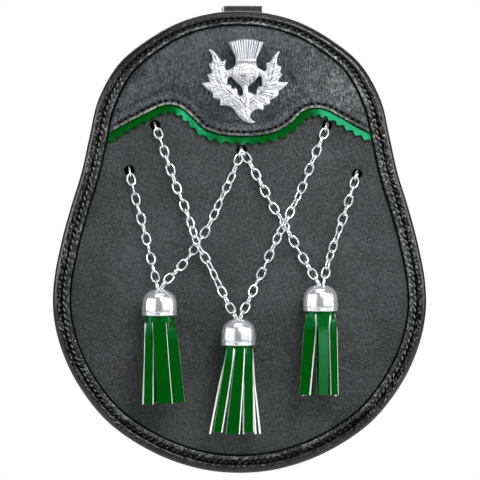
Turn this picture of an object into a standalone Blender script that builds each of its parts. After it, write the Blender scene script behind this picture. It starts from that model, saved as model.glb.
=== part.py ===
# A day sporran: a pear-shaped black leather pouch with a leather cantle, a cast thistle,
# and three green leather tassels hung on two chains.
# Metres, +Z up, the front faces -Y. The origin is the middle of the belt loop's opening.

import math
from collections import namedtuple

import bmesh
import bpy
import numpy as np
from mathutils import Matrix, Vector
from mathutils.geometry import delaunay_2d_cdt

MM = 0.001

# Driving dimensions
TOP_Z = 13.5 * MM  # the front's top edge, above the middle of the belt loop's opening
BELLY_DROP = 142 * MM  # from the top edge down to the middle of the belly
LEATHER = 2.0 * MM  # front and back panels
GAP = 0.3 * MM  # between pieces that lie on each other
RIM_STEPS = 48  # stations round the outline

FRONT_Y = -26.6 * MM  # middle of the front leather at its rim
FRONT_CROWN = 3.0 * MM  # how far the front domes forward
FLAT_RIM = 0.90  # share of the way out from the belly's middle where the doming ends
BACK_TOP_Y = -8.3 * MM  # middle of the back leather at the top edge
BACK_LEAN = 0.050  # the pouch deepens by this much for each metre down
BACK_CROWN = 4.0 * MM

BINDING_INSET = 2.2 * MM  # the panel's edge inside the binding
BINDING_TOP_WIDTH = 7.0 * MM
BINDING_SIDE_WIDTH = 9.0 * MM
GUSSET_LEATHER = 1.6 * MM
BACK_INSET = 4.0 * MM  # the back panel's edge inside the front's outline
BINDING_CLEAR = 0.7 * MM  # from the binding's inner edge to the leathers it frames

CANTLE_LEATHER = 1.6 * MM
TRIM_LEATHER = 0.9 * MM
TRIM_TUCK = 3.0 * MM  # hidden under the cantle
LIFT_HOLD = 5.4 * MM  # the cantle rides over the trim this far from its edge
LIFT_EASE = 3.0 * MM  # and then comes down to the front over this much more
TRIM_VALLEY = 2.7 * MM  # shown below the cantle's edge, to the notches
TRIM_PEAK = 4.6 * MM  # the same, to the teeth
TOOTH_PITCH = 5.0 * MM

HOLE_RADIUS = 2.3 * MM
CHAIN_RADIUS = 1.9 * MM
CHAIN_STEM_RADIUS = 1.5 * MM  # the links that pass through a hole or a cap's top
CHAIN_SPACING = 8.5 * MM
PIN_RADIUS = 0.7 * MM
HOLE_PIN = 9.0 * MM  # the pin that keeps a chain's end behind the leather
HOLE_STEM_REACH = 1.7 * MM  # how far a hole's stem starts in front of the leather
CAP_PIN = 6.4 * MM  # the pin that a cap hangs on
CAP_STEM_REACH = 1.6 * MM  # how far a cap's stem starts above its top
CAP_ROOF = 3.2 * MM  # from the cap's top down to the roof inside that rests on the pin

CAP_RADIUS = 8.6 * MM
CAP_HEIGHT = 13.2 * MM
CAP_STEPS = 16
CAP_STAND_OFF = 0.6 * MM  # between the cap's rim and the leather behind it
TASSEL_HEAD_RADIUS = 6.9 * MM
TASSEL_HEAD_DROP = 5.9 * MM  # the head's top, below the cap's
TASSEL_HEAD_SHOWN = 2.4 * MM  # of the head, below the cap's rim
STRIP_LEATHER = 1.2 * MM
STRIPS = 11
SLIT_SHARE = 0.24  # of a strip's pitch that the slit beside it takes
STRIP_LENGTHS = 4
STRIP_BOW = 0.7 * MM
STRIP_SWAY = 0.9 * MM
STRIP_UNEVEN = 1.3 * MM
FAN_DEPTH = 7.2 * MM

LOOP_X = 1.2 * MM
LOOP_WIDTH = 20.4 * MM
LOOP_LEATHER = 1.8 * MM
LOOP_PROUD = 4.1 * MM  # above the front's top edge
LOOP_OPENING = 8.0 * MM  # front to back
LOOP_HEIGHT = 35.2 * MM
LOOP_BEND = 3.4 * MM

MOUTH_WIDTH = 108.0 * MM
MOUTH_HEIGHT = 13.0 * MM
MOUTH_DROP = 50.0 * MM
FLAP_LEATHER = 1.6 * MM
STUD_DROP = 84.0 * MM
STUD_STAND_OFF = 0.2 * MM

# The front's outline, from its top middle down the right side to its bottom middle, in mm
Outline = namedtuple("Outline", "half_width drop")
OUTLINE = (
    Outline(0.0, 0.0),
    Outline(13.5, 1.0),
    Outline(29.8, 5.5),
    Outline(46.2, 14.5),
    Outline(60.5, 26.5),
    Outline(70.7, 44.5),
    Outline(75.0, 62.5),
    Outline(79.0, 80.5),
    Outline(84.5, 98.5),
    Outline(89.3, 116.5),
    Outline(93.0, 137.0),
    Outline(92.9, 153.0),
    Outline(88.6, 170.5),
    Outline(79.7, 188.5),
    Outline(64.8, 206.5),
    Outline(42.0, 221.3),
    Outline(20.0, 228.9),
    Outline(0.0, 231.0),
)

# The cantle's lower edge, from left to right, in mm from the middle and below the top edge
Edge = namedtuple("Edge", "across drop")
CANTLE_EDGE = (
    Edge(-69.0, 63.8),
    Edge(-56.3, 56.3),
    Edge(-44.8, 50.4),
    Edge(-38.5, 47.5),
    Edge(-33.3, 47.1),
    Edge(-28.5, 49.0),
    Edge(-22.9, 53.8),
    Edge(-18.2, 58.6),
    Edge(-10.5, 61.6),
    Edge(0.3, 62.8),
    Edge(10.4, 62.4),
    Edge(19.4, 60.1),
    Edge(25.7, 56.1),
    Edge(32.0, 50.2),
    Edge(37.2, 48.7),
    Edge(42.5, 49.2),
    Edge(49.6, 52.6),
    Edge(58.0, 57.5),
    Edge(71.0, 64.4),
)

# The binding's section: in from the outline, and forward of the front leather's middle, in mm
Section = namedtuple("Section", "inward forward")
BINDING_SECTION = (
    Section(9.0, 1.4),
    Section(9.0, 3.2),
    Section(7.3, 3.6),
    Section(5.4, 2.9),
    Section(3.6, 3.7),
    Section(1.5, 3.4),
    Section(0.2, 1.9),
    Section(0.0, -0.4),
    Section(0.7, -2.2),
    Section(2.4, -2.9),
    Section(7.6, -2.9),
    Section(7.6, -1.4),
    Section(1.9, -1.4),
    Section(1.9, 1.4),
)

# The gusset's fold: in from the outline, and its share of the way from front to back
Fold = namedtuple("Fold", "inward depth")
GUSSET_FOLD = (
    Fold(3.6, 0.0),
    Fold(7.2, 0.0),
    Fold(9.2, 0.14),
    Fold(12.4, 0.52),
    Fold(9.6, 0.88),
    Fold(7.8, 1.0),
    Fold(5.0, 1.0),
)

# Chain holes, in mm from the middle and below the top edge
Hole = namedtuple("Hole", "across drop")
LEFT_HOLE = Hole(-55.2, 79.7)
UPPER_LEFT_HOLE = Hole(-42.2, 57.2)
MIDDLE_HOLE = Hole(1.0, 69.5)
UPPER_RIGHT_HOLE = Hole(43.8, 57.0)
RIGHT_HOLE = Hole(58.8, 81.5)

# A chain's way over the leather: mm from the middle, below the top edge, and off the leather
Route = namedtuple("Route", "across drop lift")
LEFT_OUTER_ROUTE = (
    Route(-55.2, 79.7, 1.6),
    Route(-54.2, 83.0, 2.6),
    Route(-52.3, 91.8, 2.6),
    Route(-50.0, 100.5, 2.6),
    Route(-46.8, 112.8, 2.6),
    Route(-44.3, 123.3, 3.0),
    Route(-41.6, 132.9, 6.4),
    Route(-39.9, 138.2, 9.2),
)
LEFT_INNER_ROUTE = (
    Route(-39.9, 138.2, 9.2),
    Route(-35.8, 134.6, 7.6),
    Route(-30.5, 130.2, 4.6),
    Route(-22.5, 119.0, 2.6),
    Route(-15.6, 107.8, 2.6),
    Route(-9.5, 94.8, 2.6),
    Route(-3.4, 81.8, 2.6),
    Route(-0.2, 73.5, 2.6),
    Route(1.0, 69.5, 1.6),
)
RIGHT_INNER_ROUTE = (
    Route(1.0, 69.5, 1.6),
    Route(3.6, 73.0, 2.6),
    Route(7.5, 80.5, 2.6),
    Route(12.1, 89.0, 2.6),
    Route(16.2, 97.0, 2.6),
    Route(20.9, 104.0, 2.6),
    Route(25.5, 112.5, 2.6),
    Route(30.9, 122.0, 3.4),
    Route(36.2, 130.2, 6.6),
    Route(40.3, 136.0, 9.2),
)
RIGHT_OUTER_ROUTE = (
    Route(40.3, 136.0, 9.2),
    Route(42.0, 129.8, 6.8),
    Route(45.4, 121.0, 3.2),
    Route(48.5, 113.0, 2.6),
    Route(51.2, 105.0, 2.6),
    Route(54.3, 95.5, 2.6),
    Route(57.4, 85.2, 2.6),
    Route(58.8, 81.5, 1.6),
)
CENTRE_LEFT_ROUTE = (
    Route(-42.2, 57.2, 1.6),
    Route(-40.9, 61.0, 2.6),
    Route(-38.5, 67.5, 2.6),
    Route(-35.2, 77.0, 2.6),
    Route(-30.9, 89.5, 2.6),
    Route(-27.5, 97.5, 2.8),
    Route(-24.0, 107.0, 5.6),
    Route(-21.2, 116.0, 7.1),
    Route(-15.2, 126.7, 4.9),
    Route(-11.0, 135.5, 3.4),
    Route(-6.5, 144.6, 5.6),
    Route(-0.5, 153.0, 9.2),
)
CENTRE_RIGHT_ROUTE = (
    Route(-0.5, 153.0, 9.2),
    Route(4.7, 143.5, 5.6),
    Route(8.3, 136.3, 3.0),
    Route(11.4, 130.0, 2.6),
    Route(15.5, 120.8, 3.2),
    Route(19.2, 112.8, 5.8),
    Route(22.9, 105.3, 7.1),
    Route(27.0, 97.2, 5.2),
    Route(30.8, 89.3, 2.6),
    Route(37.0, 73.8, 2.6),
    Route(42.2, 60.8, 2.6),
    Route(43.8, 57.0, 1.6),
)

# Each tassel: its axis, the drop of its cap's top, and how far its strips reach and spread, in mm
Tassel = namedtuple("Tassel", "name across cap_drop foot_drop foot_across half_spread turn")
TASSELS = (
    Tassel("left", -39.8, 139.0, 196.5, -38.5, 10.6, 0.10),
    Tassel("centre", -0.5, 153.8, 211.5, -2.2, 12.6, 0.24),
    Tassel("right", 40.3, 136.8, 193.2, 39.4, 9.6, 0.17),
)

# The cap's wall: out from its axis, and below its top, in mm
Turned = namedtuple("Turned", "radius drop")
CAP_OUTSIDE = (
    Turned(2.7, 0.0),
    Turned(4.5, 0.7),
    Turned(6.5, 2.0),
    Turned(7.9, 4.1),
    Turned(8.5, 7.2),
    Turned(8.6, 11.4),
    Turned(8.8, 12.3),
    Turned(8.5, 13.2),
)
CAP_INSIDE = (
    Turned(7.0, 13.2),
    Turned(7.3, 8.4),
    Turned(6.2, 5.3),
    Turned(4.3, 3.3),
    Turned(2.1, 2.2),
    Turned(2.2, 0.0),
)

# The head inside the cap: share of its radius, and mm below its top
HEAD_RINGS = (Turned(0.62, 0.0), Turned(1.0, 2.6), Turned(0.93, 5.2), Turned(1.0, 9.7))

# The rear flap, and how far it stands off the back over the mouth, in mm
Tongue = namedtuple("Tongue", "drop half_width stand_off")
FLAP = (
    Tongue(34.0, 60.0, 0.0),
    Tongue(40.0, 61.5, 1.6),
    Tongue(50.0, 61.0, 2.6),
    Tongue(62.0, 56.0, 1.6),
    Tongue(74.0, 47.0, 0.2),
    Tongue(86.0, 34.0, 0.0),
    Tongue(93.0, 20.0, 0.0),
    Tongue(95.5, 8.0, 0.0),
)
FLAP_SHARES = (-1.0, -0.8, -0.4, 0.0, 0.4, 0.8, 1.0)

# The press stud: out from its axis, and below its crown, in mm
STUD = (
    Turned(0.0, 0.0),
    Turned(2.6, 0.3),
    Turned(4.8, 1.3),
    Turned(6.0, 2.3),
    Turned(6.0, 2.6),
    Turned(0.0, 2.6),
)

# The thistle's barbed leaves: each barb's tip, and the notch that follows it, in mm
Barb = namedtuple("Barb", "across drop notch_across notch_drop")
LEFT_LEAF = (
    Barb(-6.7, 24.4, -8.8, 25.4),
    Barb(-15.4, 19.1, -13.2, 25.0),
    Barb(-15.5, 26.3, -13.4, 30.6),
    Barb(-16.3, 32.2, -14.9, 35.3),
    Barb(-19.0, 35.9, -13.2, 41.0),
    Barb(-13.5, 43.7, -9.9, 44.7),
    Barb(-9.7, 47.4, -6.4, 47.4),
)
RIGHT_LEAF = (
    Barb(11.7, 50.0, 12.1, 47.5),
    Barb(15.2, 46.1, 15.1, 44.3),
    Barb(19.5, 42.3, 19.3, 40.4),
    Barb(24.5, 35.7, 19.2, 35.2),
    Barb(21.6, 31.9, 20.0, 30.6),
    Barb(20.8, 27.8, 18.8, 26.5),
    Barb(19.9, 20.4, 15.4, 25.5),
    Barb(13.3, 26.2, 13.1, 29.4),
)
# The curled tail between the leaves, and the veins that run from it up each leaf
Place = namedtuple("Place", "across drop")
TAIL = (
    Place(-3.2, 49.3),
    Place(-0.7, 53.0),
    Place(1.9, 55.5),
    Place(4.7, 56.4),
    Place(7.8, 55.8),
    Place(5.5, 54.2),
    Place(5.3, 52.0),
    Place(6.8, 49.9),
    Place(8.8, 49.4),
)
LEFT_VEIN = (
    Place(1.8, 49.0),
    Place(-4.5, 43.0),
    Place(-9.6, 38.0),
    Place(-11.6, 31.0),
    Place(-12.4, 25.0),
)
RIGHT_VEIN = (
    Place(4.4, 49.0),
    Place(10.5, 43.6),
    Place(15.6, 38.0),
    Place(17.2, 31.0),
    Place(17.8, 25.4),
)
# The openings on each side of the stem
LEFT_GAP = (
    Place(-6.0, 33.2),
    Place(-3.9, 32.8),
    Place(-2.0, 35.1),
    Place(1.3, 38.0),
    Place(2.0, 40.8),
    Place(0.6, 42.7),
    Place(-0.9, 40.8),
    Place(-1.6, 38.4),
    Place(-3.4, 39.6),
    Place(-4.4, 36.8),
    Place(-6.2, 36.9),
)
RIGHT_GAP = (
    Place(9.7, 32.2),
    Place(11.0, 33.8),
    Place(10.9, 37.9),
    Place(9.2, 38.0),
    Place(8.0, 42.2),
    Place(4.7, 40.7),
    Place(4.1, 38.6),
    Place(6.5, 36.0),
)
# The flower head and the bulb, on the badge's own middle line
Level = namedtuple("Level", "drop half_width")
BADGE_X = 3.2
FLOWER = (Level(15.7, 8.7), Level(18.9, 7.2), Level(22.0, 5.8), Level(24.7, 4.7))
FLOWER_RISE = 1.9  # how far its top bows up in the middle
BULB = (Level(27.0, 5.6), Level(29.2, 6.6))
BULB_MIDDLE = Place(3.2, 30.9)
BULB_RADII = (6.6, 6.4)
PLATE = 1.1 * MM
LEAF_RELIEF = 1.3 * MM
FLOWER_RELIEF = 1.9 * MM
BULB_RELIEF = 3.6 * MM
FLUTES = 9


def height_at(drop):
    # The world height of a point that lies this many mm below the top edge.
    return TOP_Z - drop * MM


def smooth(points, closed=False, per_span=12):
    # A centripetal Catmull-Rom curve through the points.
    points = np.asarray(points, float)
    if closed:
        path = np.vstack([points[-1:], points, points[:2]])
    else:
        path = np.vstack([2 * points[0] - points[1], points, 2 * points[-1] - points[-2]])
    curve = []
    for a, b, c, d in zip(path, path[1:], path[2:], path[3:]):
        before = math.sqrt(np.linalg.norm(b - a))
        span = math.sqrt(np.linalg.norm(c - b))
        after = math.sqrt(np.linalg.norm(d - c))
        leave = (b - a) / before - (c - a) / (before + span) + (c - b) / span
        arrive = (c - b) / span - (d - b) / (span + after) + (d - c) / after
        for s in np.arange(per_span) / per_span:
            curve.append(
                (2 * s**3 - 3 * s**2 + 1) * b
                + (s**3 - 2 * s**2 + s) * span * leave
                + (3 * s**2 - 2 * s**3) * c
                + (s**3 - s**2) * span * arrive
            )
    if not closed:
        curve.append(points[-1])
    return np.array(curve)


def resample(curve, count, closed=False):
    # The same curve as this many points, evenly spaced along it.
    if closed:
        curve = np.vstack([curve, curve[:1]])
    steps = np.linalg.norm(np.diff(curve, axis=0), axis=1)
    along = np.concatenate([[0.0], np.cumsum(steps)])
    wanted = np.linspace(0.0, along[-1], count, endpoint=not closed)
    return np.column_stack([np.interp(wanted, along, column) for column in curve.T])


def whole_outline():
    # The outline as a dense ring, clockwise from the top middle, with its inward directions.
    right = [(row.half_width * MM, height_at(row.drop)) for row in OUTLINE]
    left = [(-x, z) for x, z in right[-2:0:-1]]
    ring = resample(smooth(right + left, closed=True), RIM_STEPS * 12, closed=True)
    tangent = np.roll(ring, -1, axis=0) - np.roll(ring, 1, axis=0)
    tangent /= np.linalg.norm(tangent, axis=1)[:, None]
    return ring, np.column_stack([tangent[:, 1], -tangent[:, 0]])


RING, INWARD = whole_outline()
RING_TURN = np.arctan2(RING[:, 0], RING[:, 1] - height_at(BELLY_DROP / MM))
RING_REACH = np.hypot(RING[:, 0], RING[:, 1] - height_at(BELLY_DROP / MM))


def rim(inset, steps=RIM_STEPS):
    # The outline moved inward; inset is one length, or one for each station.
    pick = np.arange(steps) * len(RING) // steps
    return RING[pick] + INWARD[pick] * np.broadcast_to(inset, steps)[:, None]


def binding_width(z):
    # The binding is narrower over the top than down the sides.
    share = np.clip((TOP_Z - z) / (45 * MM), 0.0, 1.0)
    share = share * share * (3 - 2 * share)
    return BINDING_TOP_WIDTH + (BINDING_SIDE_WIDTH - BINDING_TOP_WIDTH) * share


def outwardness(x, z):
    # 0 in the belly's middle, 1 on the outline.
    dz = z - height_at(BELLY_DROP / MM)
    reach = np.interp(np.arctan2(x, dz), RING_TURN, RING_REACH, period=2 * math.pi)
    return np.hypot(x, dz) / reach


def doming(x, z):
    return (1 - np.minimum(outwardness(x, z) / FLAT_RIM, 1.0) ** 2) ** 2


def front_middle(x, z):
    return FRONT_Y - FRONT_CROWN * doming(x, z)


def front_face(x, z):
    return front_middle(x, z) - LEATHER / 2


def back_plane(z):
    return BACK_TOP_Y + BACK_LEAN * (TOP_Z - z)


def back_middle(x, z):
    return back_plane(z) + BACK_CROWN * doming(x, z)


def back_face(x, z):
    return back_middle(x, z) + LEATHER / 2


def clear_scene():
    for obj in list(bpy.data.objects):
        bpy.data.objects.remove(obj, do_unlink=True)


def new_collection(name):
    collection = bpy.data.collections.new(name)
    bpy.context.scene.collection.children.link(collection)
    return collection


def material(name, colour, roughness, metallic=0.0):
    made = bpy.data.materials.new(name)
    made.use_nodes = True
    shader = made.node_tree.nodes["Principled BSDF"]
    shader.inputs["Base Color"].default_value = (*colour, 1.0)
    shader.inputs["Roughness"].default_value = roughness
    shader.inputs["Metallic"].default_value = metallic
    made.diffuse_color = (*colour, 1.0)
    return made


def add_object(name, mesh, collection, finish=None):
    obj = bpy.data.objects.new(name, mesh)
    collection.objects.link(obj)
    if finish:
        mesh.materials.append(finish)
    return obj


def mesh_from(name, points, faces, closed=True):
    mesh = bpy.data.meshes.new(name)
    mesh.from_pydata([tuple(map(float, p)) for p in points], [], faces)
    shape = bmesh.new()
    shape.from_mesh(mesh)
    bmesh.ops.remove_doubles(shape, verts=shape.verts, dist=0.00001)
    if closed:
        bmesh.ops.recalc_face_normals(shape, faces=shape.faces)
    shape.to_mesh(mesh)
    shape.free()
    return mesh


def grid_faces(rows, columns, round_rows=False, round_columns=False):
    # Quads between neighbouring points of a grid that is stored row by row.
    faces = []
    for r in range(rows if round_rows else rows - 1):
        for c in range(columns if round_columns else columns - 1):
            below, beside = (r + 1) % rows, (c + 1) % columns
            corner = (r * columns + c, r * columns + beside)
            faces.append((*corner, below * columns + beside, below * columns + c))
    return faces


def thicken(obj, thickness):
    solid = obj.modifiers.new("leather", "SOLIDIFY")
    solid.thickness = thickness
    solid.offset = 0.0
    solid.use_even_offset = True


def cut(obj, cutter, operation="DIFFERENCE"):
    cutter.hide_render = True
    cutter.display_type = "WIRE"
    boolean = obj.modifiers.new(cutter.name, "BOOLEAN")
    boolean.operation = operation
    boolean.solver = "EXACT"
    boolean.object = cutter


def fuse(obj, other):
    cut(obj, other, "UNION")


def rod(name, start, end, radius, collection, sides=12):
    # A closed cylinder between two points.
    start, end = Vector(start), Vector(end)
    shape = bmesh.new()
    turn = (end - start).to_track_quat("Z", "Y").to_matrix().to_4x4()
    bmesh.ops.create_cone(
        shape,
        cap_ends=True,
        segments=sides,
        radius1=radius,
        radius2=radius,
        depth=(end - start).length,
        matrix=Matrix.Translation((start + end) / 2) @ turn,
    )
    mesh = bpy.data.meshes.new(name)
    shape.to_mesh(mesh)
    shape.free()
    return add_object(name, mesh, collection)


def panel(name, middle, inset, rings, parts, finish):
    # A domed leather panel: its rim, rings nearer and nearer the belly's middle, and that middle.
    edge = rim(inset)
    centre = np.array([0.0, height_at(BELLY_DROP / MM)])
    flat = np.vstack([centre + share * (edge - centre) for share in rings] + [centre])
    points = [(x, middle(x, z), z) for x, z in flat]
    faces = grid_faces(len(rings), RIM_STEPS, round_columns=True)
    last = (len(rings) - 1) * RIM_STEPS
    for step in range(RIM_STEPS):
        faces.append((last + step, last + (step + 1) % RIM_STEPS, len(points) - 1))
    obj = add_object(name, mesh_from(name, points, faces, closed=False), parts, finish)
    thicken(obj, LEATHER)
    return obj


def front_panel(parts, cutters, finish):
    rings = (1.0, 0.9, 0.7, 0.4)
    obj = panel("front_panel", front_middle, BINDING_INSET, rings, parts, finish)
    holes = (LEFT_HOLE, UPPER_LEFT_HOLE, MIDDLE_HOLE, UPPER_RIGHT_HOLE, RIGHT_HOLE)
    for number, hole in enumerate(holes):
        x, z = hole.across * MM, height_at(hole.drop)
        y = front_middle(x, z)
        ends = (x, y - 5 * MM, z), (x, y + 5 * MM, z)
        cut(obj, rod(f"hole_{number}", *ends, HOLE_RADIUS, cutters))
    return obj


def back_panel(parts, cutters, finish):
    rings = (1.0, 0.88, 0.65, 0.35)
    obj = panel("back_panel", back_middle, BACK_INSET, rings, parts, finish)
    half = MOUTH_WIDTH / 2 - MOUTH_HEIGHT / 2
    z = TOP_Z - MOUTH_DROP
    turns = np.linspace(-math.pi / 2, math.pi / 2, 7)
    right = [(half + MOUTH_HEIGHT / 2 * math.cos(a), MOUTH_HEIGHT / 2 * math.sin(a)) for a in turns]
    slot = right + [(-x, -dz) for x, dz in right]
    cut(obj, prism("mouth", [(x, z + dz) for x, dz in slot], cutters))
    return obj


def swept(name, sections, closed, parts, finish):
    # A strip that runs round the outline; sections holds one row of points for each station.
    rows, columns = len(sections), len(sections[0])
    points = [point for row in sections for point in row]
    faces = grid_faces(rows, columns, round_rows=True, round_columns=closed)
    return add_object(name, mesh_from(name, points, faces, closed), parts, finish)


def front_binding(parts, finish):
    # The edging's inner side follows its width; its outer side stays at the outline.
    base = rim(0.0)
    widths = binding_width(base[:, 1])
    sections = []
    for station in range(RIM_STEPS):
        scale = (widths[station] - BINDING_INSET) / (BINDING_SIDE_WIDTH - BINDING_INSET)
        row = []
        for point in BINDING_SECTION:
            inward = point.inward * MM
            if inward > BINDING_INSET:
                inward = BINDING_INSET + (inward - BINDING_INSET) * scale
            x, z = base[station] + INWARD[station * len(RING) // RIM_STEPS] * inward
            row.append((x, FRONT_Y - point.forward * MM, z))
        sections.append(row)
    return swept("front_binding", sections, True, parts, finish)


def gusset(parts, finish):
    binding_back = max(-point.forward for point in BINDING_SECTION) * MM
    front = FRONT_Y + binding_back + GAP + GUSSET_LEATHER / 2
    rings = [rim(fold.inward * MM) for fold in GUSSET_FOLD]
    sections = []
    for station in range(RIM_STEPS):
        back = back_plane(rings[-1][station][1]) - LEATHER / 2 - GAP - GUSSET_LEATHER / 2
        row = []
        for fold, ring in zip(GUSSET_FOLD, rings):
            x, z = ring[station]
            row.append((x, front + (back - front) * fold.depth, z))
        sections.append(row)
    obj = swept("gusset", sections, False, parts, finish)
    thicken(obj, GUSSET_LEATHER)
    return obj


def edge_line(count):
    # The cantle's lower edge between the two sides of the binding, with its downward directions.
    curve = smooth([(row.across * MM, height_at(row.drop)) for row in CANTLE_EDGE])
    curve = resample(curve, 400)
    inside = outline_distance(curve) > binding_width(curve[:, 1]) + BINDING_CLEAR
    line = resample(curve[inside], count)
    tangent = np.gradient(line, axis=0)
    tangent /= np.linalg.norm(tangent, axis=1)[:, None]
    return line, np.column_stack([tangent[:, 1], -tangent[:, 0]])


def outline_distance(points):
    # How far inside the outline each point lies.
    nearest = np.argmin(np.hypot(*(points[:, None, :] - RING[None]).transpose(2, 0, 1)), axis=1)
    return np.sum((points - RING[nearest]) * INWARD[nearest], axis=1)


def cantle(parts, finish):
    # Rows of points from the wavy lower edge up to the binding's inner edge.
    columns = 35
    near_rows = ((0.0, 0.0), (LIFT_HOLD, 0.3), (LIFT_HOLD + LIFT_EASE, 0.45))
    far_shares = (0.35, 1.0)
    low, _ = edge_line(columns)
    dense = rim(binding_width(RING[:, 1]) + BINDING_CLEAR, len(RING))
    right = np.argmin(np.hypot(*(dense - low[-1]).T))
    left = np.argmin(np.hypot(*(dense - low[0]).T))
    high = resample(np.vstack([dense[left:], dense[: right + 1]]), columns)
    high[0], high[-1] = low[0], low[-1]
    rows = [[] for _ in range(len(near_rows) + len(far_shares))]
    for start, end in zip(low, high):
        length = max(np.linalg.norm(end - start), 1e-9)
        steps = [min(far, share * length) for far, share in near_rows]
        steps += [steps[-1] + (length - steps[-1]) * share for share in far_shares]
        for row, step in zip(rows, steps):
            x, z = start + (end - start) * step / length
            over = np.clip((LIFT_HOLD + LIFT_EASE - step) / LIFT_EASE, 0.0, 1.0)
            lift = GAP + CANTLE_LEATHER / 2 + over * (TRIM_LEATHER + GAP)
            row.append((x, front_face(x, z) - lift, z))
    points = [point for row in rows for point in row]
    mesh = mesh_from("cantle", points, grid_faces(len(rows), columns), closed=False)
    obj = add_object("cantle", mesh, parts, finish)
    thicken(obj, CANTLE_LEATHER)
    return obj


def prism(name, loop, collection):
    # A flat loop of (x, z) points carried through the whole object from front to back.
    count = len(loop)
    points = [(x, y, z) for y in (-50 * MM, 20 * MM) for x, z in loop]
    faces = grid_faces(2, count, round_columns=True)
    faces += [tuple(range(count)), tuple(range(count, 2 * count))]
    return add_object(name, mesh_from(name, points, faces), collection)


def pinked_trim(parts, cutters, finish):
    # The green strip: its upper edge is tucked under the cantle, its lower edge is toothed.
    line, down = edge_line(300)
    length = np.sum(np.linalg.norm(np.diff(line, axis=0), axis=1))
    teeth = round(length / TOOTH_PITCH)
    line, down = edge_line(2 * teeth + 1)
    columns = len(line)
    bottom = np.where(np.arange(columns) % 2 == 0, TRIM_VALLEY, TRIM_PEAK)
    rows = [line - down * TRIM_TUCK, line, line + down * bottom[:, None]]
    points = []
    for row in rows:
        for x, z in row:
            points.append((x, front_face(x, z) - GAP - TRIM_LEATHER / 2, z))
    mesh = mesh_from("pinked_trim", points, grid_faces(len(rows), columns), closed=False)
    obj = add_object("pinked_trim", mesh, parts, finish)
    thicken(obj, TRIM_LEATHER)
    steps = RIM_STEPS * 2
    framed = rim(binding_width(rim(0.0, steps)[:, 1]) + BINDING_CLEAR, steps)
    cut(obj, prism("inside_binding", framed, cutters), "INTERSECT")
    return obj


def badge_loops():
    # The badge's outline, from the flower's right side round, and its two openings, in mm.
    flower = [(BADGE_X + row.half_width, row.drop) for row in FLOWER[::-1]]
    across = np.linspace(1, -1, 9)[1:-1]
    top = []
    for s in across:
        top.append((BADGE_X + FLOWER[0].half_width * s, FLOWER[0].drop - FLOWER_RISE * (1 - s * s)))
    right = [(BADGE_X + row.half_width, row.drop) for row in BULB[::-1]]
    sides = right + flower
    mirrored = [(2 * BADGE_X - x, drop) for x, drop in sides[::-1]]
    outline = sides + top + mirrored + [(-6.3, 29.4)]
    for barb in LEFT_LEAF:
        outline += [(barb.across, barb.drop), (barb.notch_across, barb.notch_drop)]
    outline += list(TAIL)
    for barb in RIGHT_LEAF:
        outline += [(barb.across, barb.drop), (barb.notch_across, barb.notch_drop)]
    return [np.array(loop, float) for loop in (outline, LEFT_GAP, RIGHT_GAP)]


def badge_inner_points():
    # Points inside the outline where the relief turns: veins, flutes and the bulb's rings.
    points = []
    for vein, leaf in ((LEFT_VEIN, LEFT_LEAF), (RIGHT_VEIN, RIGHT_LEAF)):
        points += list(vein)
        for barb in leaf:
            near = min(vein, key=lambda p: math.hypot(p.across - barb.across, p.drop - barb.drop))
            points.append(((near.across + barb.across) / 2, (near.drop + barb.drop) / 2))
    for row in FLOWER[:-1]:
        for s in np.linspace(-1, 1, 2 * FLUTES + 1)[1:-1]:
            drop = row.drop + 0.4 - FLOWER_RISE * (1 - s * s) / 2
            points.append((BADGE_X + s * row.half_width, drop))
    for share, count in ((0.85, 14), (0.5, 8)):
        for a in np.arange(count) * 2 * math.pi / count:
            points.append((
                BULB_MIDDLE.across + share * BULB_RADII[0] * math.cos(a),
                BULB_MIDDLE.drop + share * BULB_RADII[1] * math.sin(a),
            ))
    points += [BULB_MIDDLE, (3.3, 40.5), (3.2, 45.0), (2.6, 52.5)]
    return np.array(points, float)


def inside(point, loop):
    # Whether a point lies within a closed loop, by counting the sides to its right.
    ends = np.roll(loop, -1, axis=0)
    spans = (loop[:, 1] > point[1]) != (ends[:, 1] > point[1])
    rise = np.where(spans, ends[:, 1] - loop[:, 1], 1.0)
    crossing = loop[:, 0] + (point[1] - loop[:, 1]) * (ends[:, 0] - loop[:, 0]) / rise
    return np.count_nonzero(spans & (point[0] < crossing)) % 2 == 1


def edge_distance(point, loops):
    # How far a point is from the nearest side of any loop.
    nearest = math.inf
    for loop in loops:
        along = np.roll(loop, -1, axis=0) - loop
        share = np.clip(np.sum((point - loop) * along, axis=1) / np.sum(along**2, axis=1), 0, 1)
        away = np.linalg.norm(loop + share[:, None] * along - point, axis=1)
        nearest = min(nearest, np.min(away))
    return nearest


def badge_height(point, loops):
    # The relief over the badge's back at one point.
    distance = edge_distance(point, loops)
    height = PLATE + LEAF_RELIEF * min(distance / 1.9, 1.0)
    across, drop = point[0] - BADGE_X, point[1]
    if drop < FLOWER[-1].drop + 0.2:
        half = np.interp(drop, [row.drop for row in FLOWER], [row.half_width for row in FLOWER])
        flute = math.cos(math.pi * across / half * FLUTES)
        height = PLATE + FLOWER_RELIEF * min(distance / 1.2, 1.0) + 0.3 * MM * flute
    share = math.hypot(across / BULB_RADII[0], (drop - BULB_MIDDLE.drop) / BULB_RADII[1])
    if share < 1.0:
        height = max(height, PLATE + BULB_RELIEF * math.sqrt(1 - share**2))
    return height


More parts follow.
